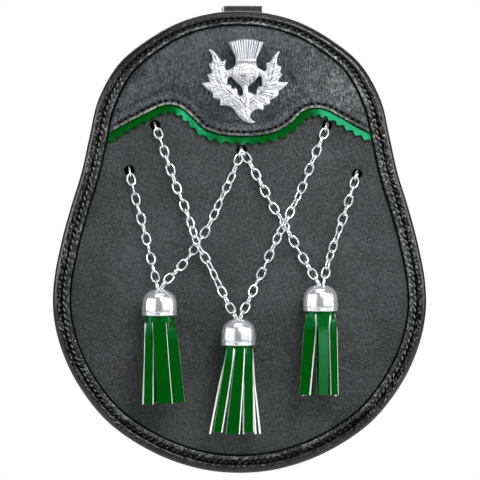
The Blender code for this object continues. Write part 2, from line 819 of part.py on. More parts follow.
def thistle_badge(parts, finish):
    # A cast relief: its front rises from the outline, its back is flat.
    loops = badge_loops()
    flat = [Vector(p) for loop in loops for p in loop] + [Vector(p) for p in badge_inner_points()]
    sides, start = [], 0
    for loop in loops:
        sides += [(start + i, start + (i + 1) % len(loop)) for i in range(len(loop))]
        start += len(loop)
    flat, _, found, *_ = delaunay_2d_cdt(flat, sides, [], 1, 1e-6)
    flat = np.array([tuple(p) for p in flat])
    faces = []
    for face in found:
        middle = flat[list(face)].mean(axis=0)
        if inside(middle, loops[0]) and not any(inside(middle, gap) for gap in loops[1:]):
            faces.append(tuple(face))
    count = len(flat)
    points = []
    for level in (0, 1):
        for place in flat:
            rise = badge_height(place, loops) if level == 0 else 0.0
            z = height_at(place[1])
            points.append((place[0] * MM, badge_back(z) - rise, z))
    uses = {}
    for face in faces:
        for a, b in zip(face, face[1:] + face[:1]):
            uses[(a, b)] = True
    walls = [(a, b, b + count, a + count) for a, b in uses if (b, a) not in uses]
    backs = [tuple(corner + count for corner in face[::-1]) for face in faces]
    mesh = mesh_from("thistle_badge", points, faces + backs + walls)
    shape = bmesh.new()
    shape.from_mesh(mesh)
    loose = [vert for vert in shape.verts if not vert.link_faces]
    bmesh.ops.delete(shape, geom=loose, context="VERTS")
    shape.to_mesh(mesh)
    shape.free()
    return add_object("thistle_badge", mesh, parts, finish)


def badge_back(z):
    # The badge's flat back leans with the domed cantle under it.
    share = (height_at(14.0) - z) / (42.0 * MM)
    return FRONT_Y - LEATHER / 2 - CANTLE_LEATHER - 2.1 * GAP - share * 1.6 * MM


def route_points(route):
    # A chain's route in space: its lift is measured from the leather under it.
    points = []
    for row in route:
        x, z = row.across * MM, height_at(row.drop)
        points.append((x, front_face(x, z) - row.lift * MM, z))
    return np.array(points)


def tube(name, route, collection):
    # A round bar along a route, with a point every few diameters.
    curve = smooth(route_points(route))
    length = np.sum(np.linalg.norm(np.diff(curve, axis=0), axis=1))
    points = resample(curve, round(length / CHAIN_SPACING) + 1)
    data = bpy.data.curves.new(name, "CURVE")
    data.dimensions = "3D"
    data.bevel_depth = CHAIN_RADIUS
    data.bevel_resolution = 2
    data.use_fill_caps = True
    spline = data.splines.new("POLY")
    spline.points.add(len(points) - 1)
    for slot, point in zip(spline.points, points):
        slot.co = (*map(float, point), 1.0)
    guide = add_object(f"{name}_guide", data, collection)
    bpy.context.view_layer.update()
    mesh = bpy.data.meshes.new_from_object(guide.evaluated_get(bpy.context.evaluated_depsgraph_get()))
    bpy.data.objects.remove(guide, do_unlink=True)
    shape = bmesh.new()
    shape.from_mesh(mesh)
    bmesh.ops.remove_doubles(shape, verts=shape.verts, dist=0.00001)
    bmesh.ops.recalc_face_normals(shape, faces=shape.faces)
    shape.to_mesh(mesh)
    shape.free()
    return add_object(name, mesh, collection)


def hole_end(chain, name, hole, cutters):
    # The last links pass through the leather, and a pin across them holds them there.
    x, z = hole.across * MM, height_at(hole.drop)
    front = front_face(x, z)
    pin_y = front + LEATHER + GAP + PIN_RADIUS
    stem_ends = (x, front - HOLE_STEM_REACH, z), (x, pin_y + PIN_RADIUS, z)
    pin_ends = (x - HOLE_PIN / 2, pin_y, z), (x + HOLE_PIN / 2, pin_y, z)
    fuse(chain, rod(f"{name}_stem", *stem_ends, CHAIN_STEM_RADIUS, cutters, 8))
    fuse(chain, rod(f"{name}_pin", *pin_ends, PIN_RADIUS, cutters, 6))


def cap_place(tassel):
    x, z = tassel.across * MM, height_at(tassel.cap_drop)
    return Vector((x, float(front_face(x, z - CAP_HEIGHT)) - CAP_RADIUS - CAP_STAND_OFF, z))


def cap_end(chain, tassel, cutters):
    # The chain's lowest link reaches through the cap's top, and the cap hangs on its pin.
    top = cap_place(tassel)
    pin = top - Vector((0, 0, CAP_ROOF + GAP + PIN_RADIUS))
    stem_ends = top + Vector((0, 0, CAP_STEM_REACH)), pin - Vector((0, 0, PIN_RADIUS))
    side = Vector((CAP_PIN / 2, 0, 0))
    fuse(chain, rod(f"{tassel.name}_link", *stem_ends, CHAIN_STEM_RADIUS, cutters, 8))
    fuse(chain, rod(f"{tassel.name}_cap_pin", pin - side, pin + side, PIN_RADIUS, cutters, 6))


def outer_chain(parts, cutters, finish):
    chain = tube("outer_chain", LEFT_OUTER_ROUTE, parts)
    chain.data.materials.append(finish)
    fuse(chain, tube("left_inner", LEFT_INNER_ROUTE, cutters))
    fuse(chain, tube("right_inner", RIGHT_INNER_ROUTE, cutters))
    fuse(chain, tube("right_outer", RIGHT_OUTER_ROUTE, cutters))
    for name, hole in (("left", LEFT_HOLE), ("middle", MIDDLE_HOLE), ("right", RIGHT_HOLE)):
        hole_end(chain, f"{name}_hole", hole, cutters)
    cap_end(chain, TASSELS[0], cutters)
    cap_end(chain, TASSELS[2], cutters)
    return chain


def centre_chain(parts, cutters, finish):
    chain = tube("centre_chain", CENTRE_LEFT_ROUTE, parts)
    chain.data.materials.append(finish)
    fuse(chain, tube("centre_right", CENTRE_RIGHT_ROUTE, cutters))
    for name, hole in (("upper_left", UPPER_LEFT_HOLE), ("upper_right", UPPER_RIGHT_HOLE)):
        hole_end(chain, f"{name}_hole", hole, cutters)
    cap_end(chain, TASSELS[1], cutters)
    return chain


def tassel_cap(tassel, parts, finish):
    # A turned bell, open below, with a hole in its top for the chain.
    wall = [(p.radius * MM, -p.drop * MM) for p in CAP_OUTSIDE + CAP_INSIDE]
    obj = turned(f"{tassel.name}_tassel_cap", wall, parts, finish)
    obj.location = cap_place(tassel)
    return obj


def tassel_strips(tassel, parts, finish):
    # A rolled leather head, slit below the cap into strips that fan out to the sides.
    turns = 2 * STRIPS
    top = cap_place(tassel)
    head_top = top.z - TASSEL_HEAD_DROP
    head_foot = top.z - CAP_HEIGHT - TASSEL_HEAD_SHOWN
    angles = []
    for strip in range(STRIPS):
        first = 2 * math.pi * (strip + SLIT_SHARE / 2) / STRIPS + tassel.turn
        angles += [first, first + 2 * math.pi * (1 - SLIT_SHARE) / STRIPS]
    inner = (TASSEL_HEAD_RADIUS - STRIP_LEATHER) / TASSEL_HEAD_RADIUS
    rings = [(row.radius, head_top - row.drop * MM) for row in HEAD_RINGS] + [(inner, head_foot)]
    points = [(top.x, top.y, head_top), (top.x, top.y, head_foot)]
    for share, z in rings:
        for a in angles:
            r = TASSEL_HEAD_RADIUS * share
            points.append((top.x + r * math.cos(a), top.y + r * math.sin(a), z))
    corner = [[2 + level * turns + step for step in range(turns)] for level in range(len(rings))]
    faces = []
    for step in range(turns):
        beside = (step + 1) % turns
        faces.append((0, corner[0][step], corner[0][beside]))
        faces.append((1, corner[-1][beside], corner[-1][step]))
        for upper, lower in zip(corner, corner[1:]):
            faces.append((upper[step], upper[beside], lower[beside], lower[step]))
    name = f"{tassel.name}_tassel"
    mesh = bpy.data.meshes.new(name)
    mesh.from_pydata(points, [], faces)
    shape = bmesh.new()
    shape.from_mesh(mesh)
    bmesh.ops.recalc_face_normals(shape, faces=shape.faces)
    shape.faces.ensure_lookup_table()
    per_step = 1 + len(rings)
    roots = [shape.faces[2 * strip * per_step + per_step - 1] for strip in range(STRIPS)]
    for strip, root in enumerate(roots):
        hang_strip(shape, root, strip, tassel, top)
    shape.to_mesh(mesh)
    shape.free()
    return add_object(name, mesh, parts, finish)


def hang_strip(shape, root, strip, tassel, top):
    # Pulls one strip down out of its root face, in a few lengths that curve outward.
    middle = root.calc_center_median()
    outward = Vector((middle.x - top.x, middle.y - top.y, 0)) / TASSEL_HEAD_RADIUS
    spread = tassel.half_spread * MM + STRIP_SWAY * math.sin(2.4 * strip + 5 * tassel.turn)
    lift = STRIP_UNEVEN * (1 + math.sin(3.7 * strip + tassel.turn))
    foot = Vector((
        tassel.foot_across * MM + outward.x * spread,
        top.y + min(outward.y, 0.92) * FAN_DEPTH,
        height_at(tassel.foot_drop) + lift,
    ))
    face = root
    corners = [vert.co - middle for vert in root.verts]
    for length in range(1, STRIP_LENGTHS + 1):
        made = bmesh.ops.extrude_discrete_faces(shape, faces=[face])
        face = made["faces"][0]
        share = length / STRIP_LENGTHS
        place = middle.lerp(foot, share)
        bow = math.sin(math.pi * share) * STRIP_BOW
        place += Vector((outward.x, min(outward.y, 0.3), 0)) * bow
        for vert, corner in zip(face.verts, corners):
            vert.co = place + corner


def belt_loop(parts, finish):
    # A strip bent into a closed loop, its front leg sewn flat to the back panel.
    top = TOP_Z + LOOP_PROUD
    middle_z = top - LOOP_HEIGHT / 2
    half_y = (LOOP_OPENING + LOOP_LEATHER) / 2
    half_z = (LOOP_HEIGHT - LOOP_LEATHER) / 2
    middle = []
    for turn, (sy, sz) in enumerate(((1, 1), (-1, 1), (-1, -1), (1, -1))):
        for a in np.linspace(0, math.pi / 2, 4) + turn * math.pi / 2:
            middle.append((
                sy * (half_y - LOOP_BEND) + LOOP_BEND * math.cos(a),
                sz * (half_z - LOOP_BEND) + LOOP_BEND * math.sin(a),
            ))
    lean = math.atan(BACK_LEAN)
    points = []
    for x in (-LOOP_WIDTH / 2, LOOP_WIDTH / 2):
        for y, z in middle:
            points.append((LOOP_X + x, y - lean * z, middle_z + z))
    faces = grid_faces(2, len(middle), round_columns=True)
    obj = add_object("belt_loop", mesh_from("belt_loop", points, faces, closed=False), parts, finish)
    thicken(obj, LOOP_LEATHER)
    return obj


def back_flap(parts, finish):
    # The tongue that covers the mouth: it stands off the mouth and lies down below it.
    points = []
    for row in FLAP:
        for share in FLAP_SHARES:
            x, z = share * row.half_width * MM, height_at(row.drop)
            off = row.stand_off * MM * (1 - share**4)
            points.append((x, back_face(x, z) + GAP + FLAP_LEATHER / 2 + off, z))
    faces = grid_faces(len(FLAP), len(FLAP_SHARES))
    mesh = mesh_from("back_flap", points, faces, closed=False)
    obj = add_object("back_flap", mesh, parts, finish)
    thicken(obj, FLAP_LEATHER)
    return obj


def turned(name, profile, parts, finish):
    # A profile of (radius, height) turned round Z; its line may end on the axis or close itself.
    sides = [(i, i + 1) for i in range(len(profile) - 1)]
    if profile[0][0] > 0:
        sides.append((len(profile) - 1, 0))
    mesh = bpy.data.meshes.new(name)
    mesh.from_pydata([(radius, 0.0, height) for radius, height in profile], sides, [])
    obj = add_object(name, mesh, parts, finish)
    screw = obj.modifiers.new("turning", "SCREW")
    screw.steps = CAP_STEPS
    screw.render_steps = CAP_STEPS
    screw.use_merge_vertices = True
    screw.merge_threshold = 0.00001
    return obj


def press_stud(parts, finish):
    # A low domed cap near the flap's tip.
    foot = STUD[-1].drop
    profile = [(p.radius * MM, (foot - p.drop) * MM) for p in STUD]
    obj = turned("press_stud", profile, parts, finish)
    z = TOP_Z - STUD_DROP
    y = back_face(0.0, z) + 2 * GAP + FLAP_LEATHER + STUD_STAND_OFF
    obj.location = (0.0, y, z)
    obj.rotation_euler = (math.atan(BACK_LEAN) - math.pi / 2, 0.0, 0.0)
    return obj


def build():
    clear_scene()
    parts = new_collection("sporran_pouch")
    cutters = new_collection("cutters")
    black = material("black_leather", (0.018, 0.019, 0.019), 0.45)
    gloss = material("black_binding_leather", (0.010, 0.010, 0.010), 0.28)
    green = material("green_leather", (0.003, 0.105, 0.012), 0.30)
    silver = material("cast_silver", (0.82, 0.82, 0.83), 0.28, 1.0)
    chrome = material("chrome", (0.86, 0.86, 0.87), 0.10, 1.0)
    front_panel(parts, cutters, black)
    back_panel(parts, cutters, black)
    gusset(parts, black)
    front_binding(parts, gloss)
    cantle(parts, black)
    pinked_trim(parts, cutters, green)
    thistle_badge(parts, silver)
    outer_chain(parts, cutters, chrome)
    centre_chain(parts, cutters, chrome)
    for tassel in TASSELS:
        tassel_cap(tassel, parts, chrome)
        tassel_strips(tassel, parts, green)
    belt_loop(parts, black)
    back_flap(parts, black)
    press_stud(parts, chrome)


build()
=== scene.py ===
# The looks of a day sporran: grained leathers, a cast thistle, link chains and cut tassels.
import math
import bmesh
import bpy
import numpy as np
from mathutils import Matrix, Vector, noise
from mathutils.geometry import delaunay_2d_cdt


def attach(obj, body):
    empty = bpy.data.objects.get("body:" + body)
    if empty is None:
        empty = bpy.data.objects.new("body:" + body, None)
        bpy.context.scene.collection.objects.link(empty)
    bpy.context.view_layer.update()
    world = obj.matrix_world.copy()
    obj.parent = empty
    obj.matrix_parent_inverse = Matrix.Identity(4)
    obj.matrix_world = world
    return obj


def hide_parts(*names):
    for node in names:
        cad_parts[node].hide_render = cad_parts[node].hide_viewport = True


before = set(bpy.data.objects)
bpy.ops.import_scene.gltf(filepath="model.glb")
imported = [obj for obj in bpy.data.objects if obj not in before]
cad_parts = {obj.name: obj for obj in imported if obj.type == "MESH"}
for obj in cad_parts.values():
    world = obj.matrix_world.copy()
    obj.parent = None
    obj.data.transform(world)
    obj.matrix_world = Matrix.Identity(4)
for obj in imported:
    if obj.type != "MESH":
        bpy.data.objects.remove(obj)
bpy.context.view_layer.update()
print("frame loaded:", len(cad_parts), "nodes")

mm = 0.001

pouch = {
    "topZ": 13.5 * mm,  # the top edge, over the middle of the belt loop's opening
    "bellyDrop": 142.0,  # mm from the top edge to the middle of the belly
    "leather": 2.0 * mm,
    "gap": 0.3 * mm,
    "frontY": -26.6 * mm,  # middle of the front leather at its rim
    "frontCrown": 3.0 * mm,
    "flatRim": 0.90,  # share of the way out where the doming ends
    "backTopY": -8.3 * mm,
    "backLean": 0.050,
    "backCrown": 4.0 * mm,
    "frontInset": 2.2 * mm,
    "backInset": 4.0 * mm,
    "outline": (  # half width and drop, in mm, down the right side
        (0.0, 0.0), (13.5, 1.0), (29.8, 5.5), (46.2, 14.5), (60.5, 26.5), (70.7, 44.5),
        (75.0, 62.5), (79.0, 80.5), (84.5, 98.5), (89.3, 116.5), (93.0, 137.0), (92.9, 153.0),
        (88.6, 170.5), (79.7, 188.5), (64.8, 206.5), (42.0, 221.3), (20.0, 228.9), (0.0, 231.0),
    ),
}


def heightAt(drop):
    return pouch["topZ"] - np.asarray(drop, float) * mm


def dropAt(z):
    # in mm below the pouch's top edge
    return (pouch["topZ"] - z) / mm


def flatPlaces(pairs):
    # pairs of across and drop in mm, as flat points in metres
    return [(across * mm, float(heightAt(drop))) for across, drop in pairs]


def atDepth(flat, y):
    return np.column_stack([flat[:, 0], y, flat[:, 1]])


def smoothLine(points, closed=False, perSpan=12):
    # a centripetal curve through the points
    points = np.asarray(points, float)
    if closed:
        path = np.vstack([points[-1:], points, points[:2]])
    else:
        path = np.vstack([2 * points[0] - points[1], points, 2 * points[-1] - points[-2]])
    curve = []
    for a, b, c, d in zip(path, path[1:], path[2:], path[3:]):
        before = math.sqrt(np.linalg.norm(b - a))
        span = math.sqrt(np.linalg.norm(c - b))
        after = math.sqrt(np.linalg.norm(d - c))
        leave = (b - a) / before - (c - a) / (before + span) + (c - b) / span
        arrive = (c - b) / span - (d - b) / (span + after) + (d - c) / after
        for s in np.arange(perSpan) / perSpan:
            curve.append(
                (2 * s**3 - 3 * s**2 + 1) * b
                + (s**3 - 2 * s**2 + s) * span * leave
                + (3 * s**2 - 2 * s**3) * c
                + (s**3 - s**2) * span * arrive
            )
    if not closed:
        curve.append(points[-1])
    return np.array(curve)


def lineLength(line, closed=False):
    ends = np.vstack([line, line[:1]]) if closed else line
    return float(np.linalg.norm(np.diff(ends, axis=0), axis=1).sum())


def evenly(curve, count, closed=False):
    # the same curve as this many points, evenly spaced along it
    if closed:
        curve = np.vstack([curve, curve[:1]])
    steps = np.linalg.norm(np.diff(curve, axis=0), axis=1)
    along = np.concatenate([[0.0], np.cumsum(steps)])
    wanted = np.linspace(0.0, along[-1], count, endpoint=not closed)
    return np.column_stack([np.interp(wanted, along, column) for column in curve.T])


def sideways(line, closed=False):
    # the flat direction square to a line, at each of its points
    if closed:
        tangent = np.roll(line, -1, axis=0) - np.roll(line, 1, axis=0)
    else:
        tangent = np.gradient(line, axis=0)
    tangent = tangent / np.linalg.norm(tangent, axis=1)[:, None]
    return np.column_stack([tangent[:, 1], -tangent[:, 0]])


def rimLine(count):
    # the outline from its top middle, clockwise as seen from the front
    right = flatPlaces(pouch["outline"])
    left = [(-x, z) for x, z in right[-2:0:-1]]
    return evenly(smoothLine(right + left, closed=True), count, closed=True)


denseRim = rimLine(576)
denseInward = sideways(denseRim, closed=True)
bellyZ = float(heightAt(pouch["bellyDrop"]))
rimTurn = np.arctan2(denseRim[:, 0], denseRim[:, 1] - bellyZ)
rimReach = np.hypot(denseRim[:, 0], denseRim[:, 1] - bellyZ)


def insetRim(inset, count):
    line = rimLine(count)
    return line + sideways(line, closed=True) * np.broadcast_to(inset, count)[:, None]


def softStep(value, low=0.0, high=1.0):
    share = np.clip((value - low) / (high - low), 0.0, 1.0)
    return share * share * (3 - 2 * share)


def between(value, rise, full, fade, end):
    # 0 outside rise and end, 1 from full to fade
    return softStep(value, rise, full) * softStep(end - value, 0.0, end - fade)


def hump(value, width):
    # 1 where the value is 0, falling softly to nothing on both sides
    return np.exp(-(value / width) ** 2)


def apart(points, line):
    # from every point to every point of the line
    return np.hypot(*(points[:, None] - line[None]).transpose(2, 0, 1))


def doming(x, z):
    # 1 in the belly's middle, 0 near the rim
    reach = np.interp(np.arctan2(x, z - bellyZ), rimTurn, rimReach, period=2 * math.pi)
    out = np.hypot(x, z - bellyZ) / reach
    return (1 - np.minimum(out / pouch["flatRim"], 1.0) ** 2) ** 2


def frontFace(x, z):
    return pouch["frontY"] - pouch["frontCrown"] * doming(x, z) - pouch["leather"] / 2


def backFace(x, z):
    plane = pouch["backTopY"] + pouch["backLean"] * (pouch["topZ"] - z)
    return plane + pouch["backCrown"] * doming(x, z) + pouch["leather"] / 2


def bindingWidth(z):
    share = softStep((pouch["topZ"] - z) / (45 * mm))
    return binding["topWidth"] + (binding["sideWidth"] - binding["topWidth"]) * share


def loopDistance(points, loops):
    # how far each point is from the nearest side of any loop
    nearest = np.full(len(points), np.inf)
    for loop in loops:
        along = np.roll(loop, -1, axis=0) - loop
        square = np.maximum((along**2).sum(axis=1), 1e-18)
        for first in range(0, len(points), 2000):
            part = points[first:first + 2000, None]
            share = np.clip(((part - loop) * along).sum(axis=2) / square, 0, 1)
            away = np.linalg.norm(loop + share[..., None] * along - part, axis=2).min(axis=1)
            nearest[first:first + 2000] = np.minimum(nearest[first:first + 2000], away)
    return nearest


def insideLoop(points, loop):
    crossings = np.zeros(len(points), int)
    for (ax, az), (bx, bz) in zip(loop, np.roll(loop, -1, axis=0)):
        if az != bz:
            spans = (az > points[:, 1]) != (bz > points[:, 1])
            crossings += spans & (points[:, 0] < ax + (points[:, 1] - az) * (bx - ax) / (bz - az))
    return crossings % 2 == 1


def waves(points, size, seed):
    # soft noise from -1 to 1; size is the width of its bumps along each axis
    scale = 1 / np.asarray(size, float)
    return np.array([noise.noise(Vector((*(p * scale), seed))) for p in np.asarray(points)])


def meshOf(name, points, faces, sharp=50, fix=True):
    mesh = bpy.data.meshes.new(name)
    mesh.from_pydata(np.asarray(points, float).tolist(), [], faces)
    shape = bmesh.new()
    shape.from_mesh(mesh)
    bmesh.ops.remove_doubles(shape, verts=shape.verts, dist=0.000002)
    if fix:
        bmesh.ops.recalc_face_normals(shape, faces=shape.faces)
    shape.to_mesh(mesh)
    shape.free()
    mesh.shade_smooth()
    mesh.set_sharp_from_angle(angle=math.radians(sharp))
    return mesh


def gridFaces(rows, columns, roundRows=False, roundColumns=False):
    faces = []
    for r in range(rows if roundRows else rows - 1):
        for c in range(columns if roundColumns else columns - 1):
            row, below, beside = r * columns, (r + 1) % rows * columns, (c + 1) % columns
            faces.append((row + c, row + beside, below + beside, below + c))
    return faces


def quarterRound(distance, radius):
    # from 0 at an edge to 1 this radius in from it
    return np.sqrt(1 - np.clip(1 - distance / radius, 0, 1) ** 2)


def rounded(distance, radius):
    # how far a rounded edge falls back, this far in from it
    return radius * (1 - quarterRound(distance, radius))


def sheetMesh(name, loops, spacing, depths, bands=(0.25, 0.8), sharp=50, ownFill=None):
    # a sheet cut along flat loops in metres; depths gives its front and back at flat points;
    # bands are rows of points along its edges, in mm, and ownFill is a region's loop and its points
    loops = [np.asarray(loop, float) for loop in loops]
    low, high = loops[0].min(axis=0), loops[0].max(axis=0)
    fill = []
    for row, z in enumerate(np.arange(low[1], high[1], spacing * 0.866)):
        x = np.arange(low[0] + row % 2 * spacing / 2, high[0], spacing)
        fill.append(np.column_stack([x, np.full(len(x), z)]))
    fill = np.vstack(fill)
    if ownFill:
        fill = np.vstack([fill[~insideLoop(fill, ownFill[0])], ownFill[1]])
    fill = fill[loopDistance(fill, loops) > (max(bands, default=0) + 0.3) * mm]
    rings = [loop + side * sideways(loop, closed=True) * band * mm
             for loop in loops for band in bands for side in (1, -1)]
    fill = np.vstack([fill] + rings)
    keep = insideLoop(fill, loops[0])
    for gap in loops[1:]:
        keep &= ~insideLoop(fill, gap)
    fill = fill[keep]
    if bands:
        fill = fill[loopDistance(fill, loops) > min(bands) * 0.7 * mm]
    flat = np.vstack(loops + [fill]) / mm
    sides, start = [], 0
    for loop in loops:
        sides += [(start + i, start + (i + 1) % len(loop)) for i in range(len(loop))]
        start += len(loop)
    flat, _, found, *_ = delaunay_2d_cdt([Vector(p) for p in flat], sides, [], 1, 1e-5)
    flat = np.array([tuple(p) for p in flat]) * mm
    found = np.array([tuple(face) for face in found])
    middle = flat[found].mean(axis=1)
    keep = insideLoop(middle, loops[0])
    for gap in loops[1:]:
        keep &= ~insideLoop(middle, gap)
    found = found[keep]
    used, found = np.unique(found, return_inverse=True)
    found = found.reshape(-1, 3)
    flat = flat[used]
    front, back = depths(flat, loopDistance(flat, loops))
    count = len(flat)
    points = np.vstack([atDepth(flat, y) for y in (front, back)])
    pairs = {(a, b) for face in found.tolist() for a, b in zip(face, face[1:] + face[:1])}
    walls = [(a, b, b + count, a + count) for a, b in pairs if (b, a) not in pairs]
    faces = found.tolist() + (found[:, ::-1] + count).tolist() + walls
    return meshOf(name, points, faces, sharp)


def addPiece(name, mesh, finish, slot, *nodes):
    # finish is None for a mesh that already has its own
    piece = bpy.data.objects.new(name, mesh)
    bpy.context.scene.collection.objects.link(piece)
    if finish:
        mesh.materials.append(finish)
    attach(piece, "root")
    if nodes:
        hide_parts(*nodes)
    return piece


def feed(tree, node, inputs):
    # each input gets its value, or a link where that is another node's output
    for key, value in inputs.items():
        if isinstance(value, bpy.types.NodeSocket):
            tree.links.new(value, node.inputs[key])
        else:
            node.inputs[key].default_value = value


def addNode(tree, kind, inputs=None, **settings):
    made = tree.nodes.new(kind)
    for key, value in settings.items():
        setattr(made, key, value)
    feed(tree, made, inputs or {})
    return made


def sums(tree, operation, a, b=None, clamp=False):
    inputs = {0: a} if b is None else {0: a, 1: b}
    return addNode(tree, "ShaderNodeMath", inputs, operation=operation, use_clamp=clamp).outputs[0]


def plus(tree, a, b):
    return sums(tree, "ADD", a, b)


def minus(tree, a, b):
    return sums(tree, "SUBTRACT", a, b)


def times(tree, a, b):
    return sums(tree, "MULTIPLY", a, b)


def objectPlace(tree):
    return addNode(tree, "ShaderNodeTexCoord").outputs["Object"]


def stretched(tree, place, by):
    return addNode(tree, "ShaderNodeVectorMath", {0: place, 1: by}, operation="MULTIPLY").outputs[0]


def attributeOf(tree, name):
    return addNode(tree, "ShaderNodeAttribute", attribute_name=name).outputs["Fac"]


def noiseAt(tree, place, scale, detail=2.0, **more):
    inputs = {"Vector": place, "Scale": scale, "Detail": detail, **more}
    return addNode(tree, "ShaderNodeTexNoise", inputs).outputs["Fac"]


def shareOf(tree, value, low, high, kind="LINEAR"):
    # 0 at the low value, 1 at the high one
    return addNode(tree, "ShaderNodeMapRange", {"Value": value, "From Min": low, "From Max": high},
                   interpolation_type=kind).outputs["Result"]


def newGroup(name, kind, inputs, outputs):
    # for each label, inputs and outputs have a first value or the kind of its socket
    tree = bpy.data.node_groups.new(name, kind)
    kinds = {float: "Float", int: "Int", tuple: "Vector"}
    for side, sockets in (("INPUT", inputs), ("OUTPUT", outputs)):
        for label, value in sockets.items():
            named = isinstance(value, str)
            socketType = "NodeSocket" + (value if named else kinds[type(value)])
            socket = tree.interface.new_socket(label, in_out=side, socket_type=socketType)
            if not named:
                socket.default_value = value
    return tree, tree.nodes.new("NodeGroupInput").outputs, tree.nodes.new("NodeGroupOutput")


def leatherGrainGroup():
    # pebbles between fine creases, pores, and soft wrinkles; its crease output darkens the creases as
    # painted shade
    tree, given, result = newGroup(
        "leatherGrain", "ShaderNodeTree",
        {"Pebble mm": 1.0, "Depth mm": 0.1, "Stretch": 1.0, "Wrinkle": 0.5, "Streak": 0.0},
        {"Normal": "Vector", "CreaseShade": "Float", "Cloud": "Float"},
    )
    place = objectPlace(tree)
    stretch = addNode(tree, "ShaderNodeCombineXYZ", {"X": given["Stretch"], "Y": 1.0, "Z": 1.0})
    place = stretched(tree, place, stretch.outputs[0])
    drift = addNode(tree, "ShaderNodeTexNoise", {"Vector": place, "Scale": 420.0, "Detail": 2.0})
    drift = stretched(tree, drift.outputs["Color"], (0.0007, 0.0007, 0.0007))
    warped = addNode(tree, "ShaderNodeVectorMath", {0: place, 1: drift}, operation="ADD").outputs[0]
    scale = sums(tree, "DIVIDE", 1000.0, given["Pebble mm"])
    cells = addNode(tree, "ShaderNodeTexVoronoi", {"Vector": warped, "Scale": scale},
                    feature="DISTANCE_TO_EDGE").outputs["Distance"]
    pebble = shareOf(tree, cells, 0.0, 0.20, "SMOOTHSTEP")
    pores = noiseAt(tree, place, times(tree, scale, 2.3), 3.0)
    folds = noiseAt(tree, place, 95.0, 3.0, Distortion=0.8)
    cloud = noiseAt(tree, place, 24.0, 3.0)
    upright = stretched(tree, place, (1.0, 1.0, 0.34))
    streaks = noiseAt(tree, upright, 760.0, 2.0, Distortion=0.6)
    streaks = times(tree, minus(tree, streaks, 0.5), given["Streak"])
    height = plus(tree, times(tree, pebble, 0.55), times(tree, pores, 1.3))
    height = plus(tree, height, times(tree, times(tree, folds, 9.0), given["Wrinkle"]))
    height = plus(tree, height, times(tree, streaks, 6.0))
    depth = times(tree, given["Depth mm"], mm)
    bump = addNode(tree, "ShaderNodeBump", {"Height": height, "Distance": depth, "Strength": 1.0})
    # painted shade in the creases between the pebbles, less on the streaks
    crease = times(tree, minus(tree, 1.0, pebble), 0.75)
    crease = sums(tree, "SUBTRACT", crease, times(tree, streaks, 0.9), clamp=True)
    feed(tree, result, {"Normal": bump.outputs[0], "CreaseShade": crease, "Cloud": cloud})
    return tree


def handWearGroup():
    # a patchy mask of where hands and clothes have rubbed a surface
    tree, given, result = newGroup(
        "handWear", "ShaderNodeTree",
        {"Patch mm": 30.0, "Amount": 0.5, "Speckle": 2.2},
        {"Mask": "Float"},
    )
    place = objectPlace(tree)
    wide = noiseAt(tree, place, sums(tree, "DIVIDE", 1000.0, given["Patch mm"]), 4.0, Roughness=0.6)
    fine = noiseAt(tree, place, 760.0, 4.0, Roughness=0.7)
    mixed = plus(tree, wide, times(tree, minus(tree, fine, 0.5), given["Speckle"]))
    mask = shareOf(tree, mixed, 0.34, 0.78, "SMOOTHSTEP")
    feed(tree, result, {"Mask": times(tree, mask, given["Amount"])})
    return tree


def newMaterial(name):
    material = bpy.data.materials.new(name)
    material.use_nodes = True
    return material, material.node_tree, material.node_tree.nodes["Principled BSDF"]


def blendColours(tree, share, first, second):
    inputs = {0: share}
    for key, colour in ((6, first), (7, second)):
        inputs[key] = (*colour, 1.0) if isinstance(colour, tuple) else colour
    return addNode(tree, "ShaderNodeMix", inputs, data_type="RGBA").outputs[2]


def blendValues(tree, share, first, second):
    inputs = {"Value": share, "To Min": first, "To Max": second}
    return addNode(tree, "ShaderNodeMapRange", inputs).outputs["Result"]


grainGroup = leatherGrainGroup()
wearGroup = handWearGroup()

# colours of the pebbles, the creases (darker as painted shade), the worn places and the cut edges, whose
# pale colour also paints highlights on the binding and the cantle; fleck is how strongly an edge shows
# between and on its worn spots; rough is the roughness of a cloud's two ends; pebble and depth in mm
leathers = {
    "panel": {
        "tone": (0.0112, 0.0145, 0.0145), "crease": (0.0035, 0.0050, 0.0050), "worn": (0.050, 0.057, 0.057),
        "rough": (0.36, 0.48), "pebble": 0.95, "depth": 0.27, "wrinkle": 0.45, "shine": 0.64,
    },
    "cantle": {
        "tone": (0.0150, 0.0186, 0.0212), "crease": (0.004, 0.005, 0.006), "worn": (0.098, 0.112, 0.128),
        "edge": (0.62, 0.64, 0.60), "fleck": (0.25, 2.3), "rough": (0.34, 0.46), "pebble": 0.95,
        "depth": 0.26, "stretch": 1.6, "wrinkle": 0.8, "streak": 3.2, "shine": 0.78,
    },
    "binding": {
        "tone": (0.004, 0.0043, 0.004), "crease": (0.002, 0.002, 0.002), "worn": (0.010, 0.011, 0.010),
        "edge": (0.26, 0.27, 0.26), "fleck": (0.10, 2.6), "rough": (0.24, 0.34), "pebble": 0.7,
        "depth": 0.025, "wrinkle": 0.4, "shine": 0.72,
    },
    "gusset": {
        "tone": (0.016, 0.017, 0.017), "crease": (0.006, 0.0065, 0.0065), "worn": (0.030, 0.032, 0.032),
        "rough": (0.38, 0.55), "pebble": 0.9, "depth": 0.09, "wrinkle": 0.9,
    },
    "loop": {
        "tone": (0.010, 0.0125, 0.0115), "crease": (0.004, 0.005, 0.005), "worn": (0.024, 0.028, 0.026),
        "edge": (0.75, 0.74, 0.70), "rough": (0.40, 0.52), "pebble": 0.9, "depth": 0.15, "wrinkle": 0.5,
    },
    "green": {
        "tone": (0.0003, 0.060, 0.0004), "crease": (0.0002, 0.050, 0.0003), "worn": (0.0004, 0.066, 0.0010),
        "rough": (0.22, 0.30), "pebble": 0.6, "depth": 0.010, "wrinkle": 0.30, "tint": (0.07, 1.0, 0.53),
        "shine": 0.42,
    },
}


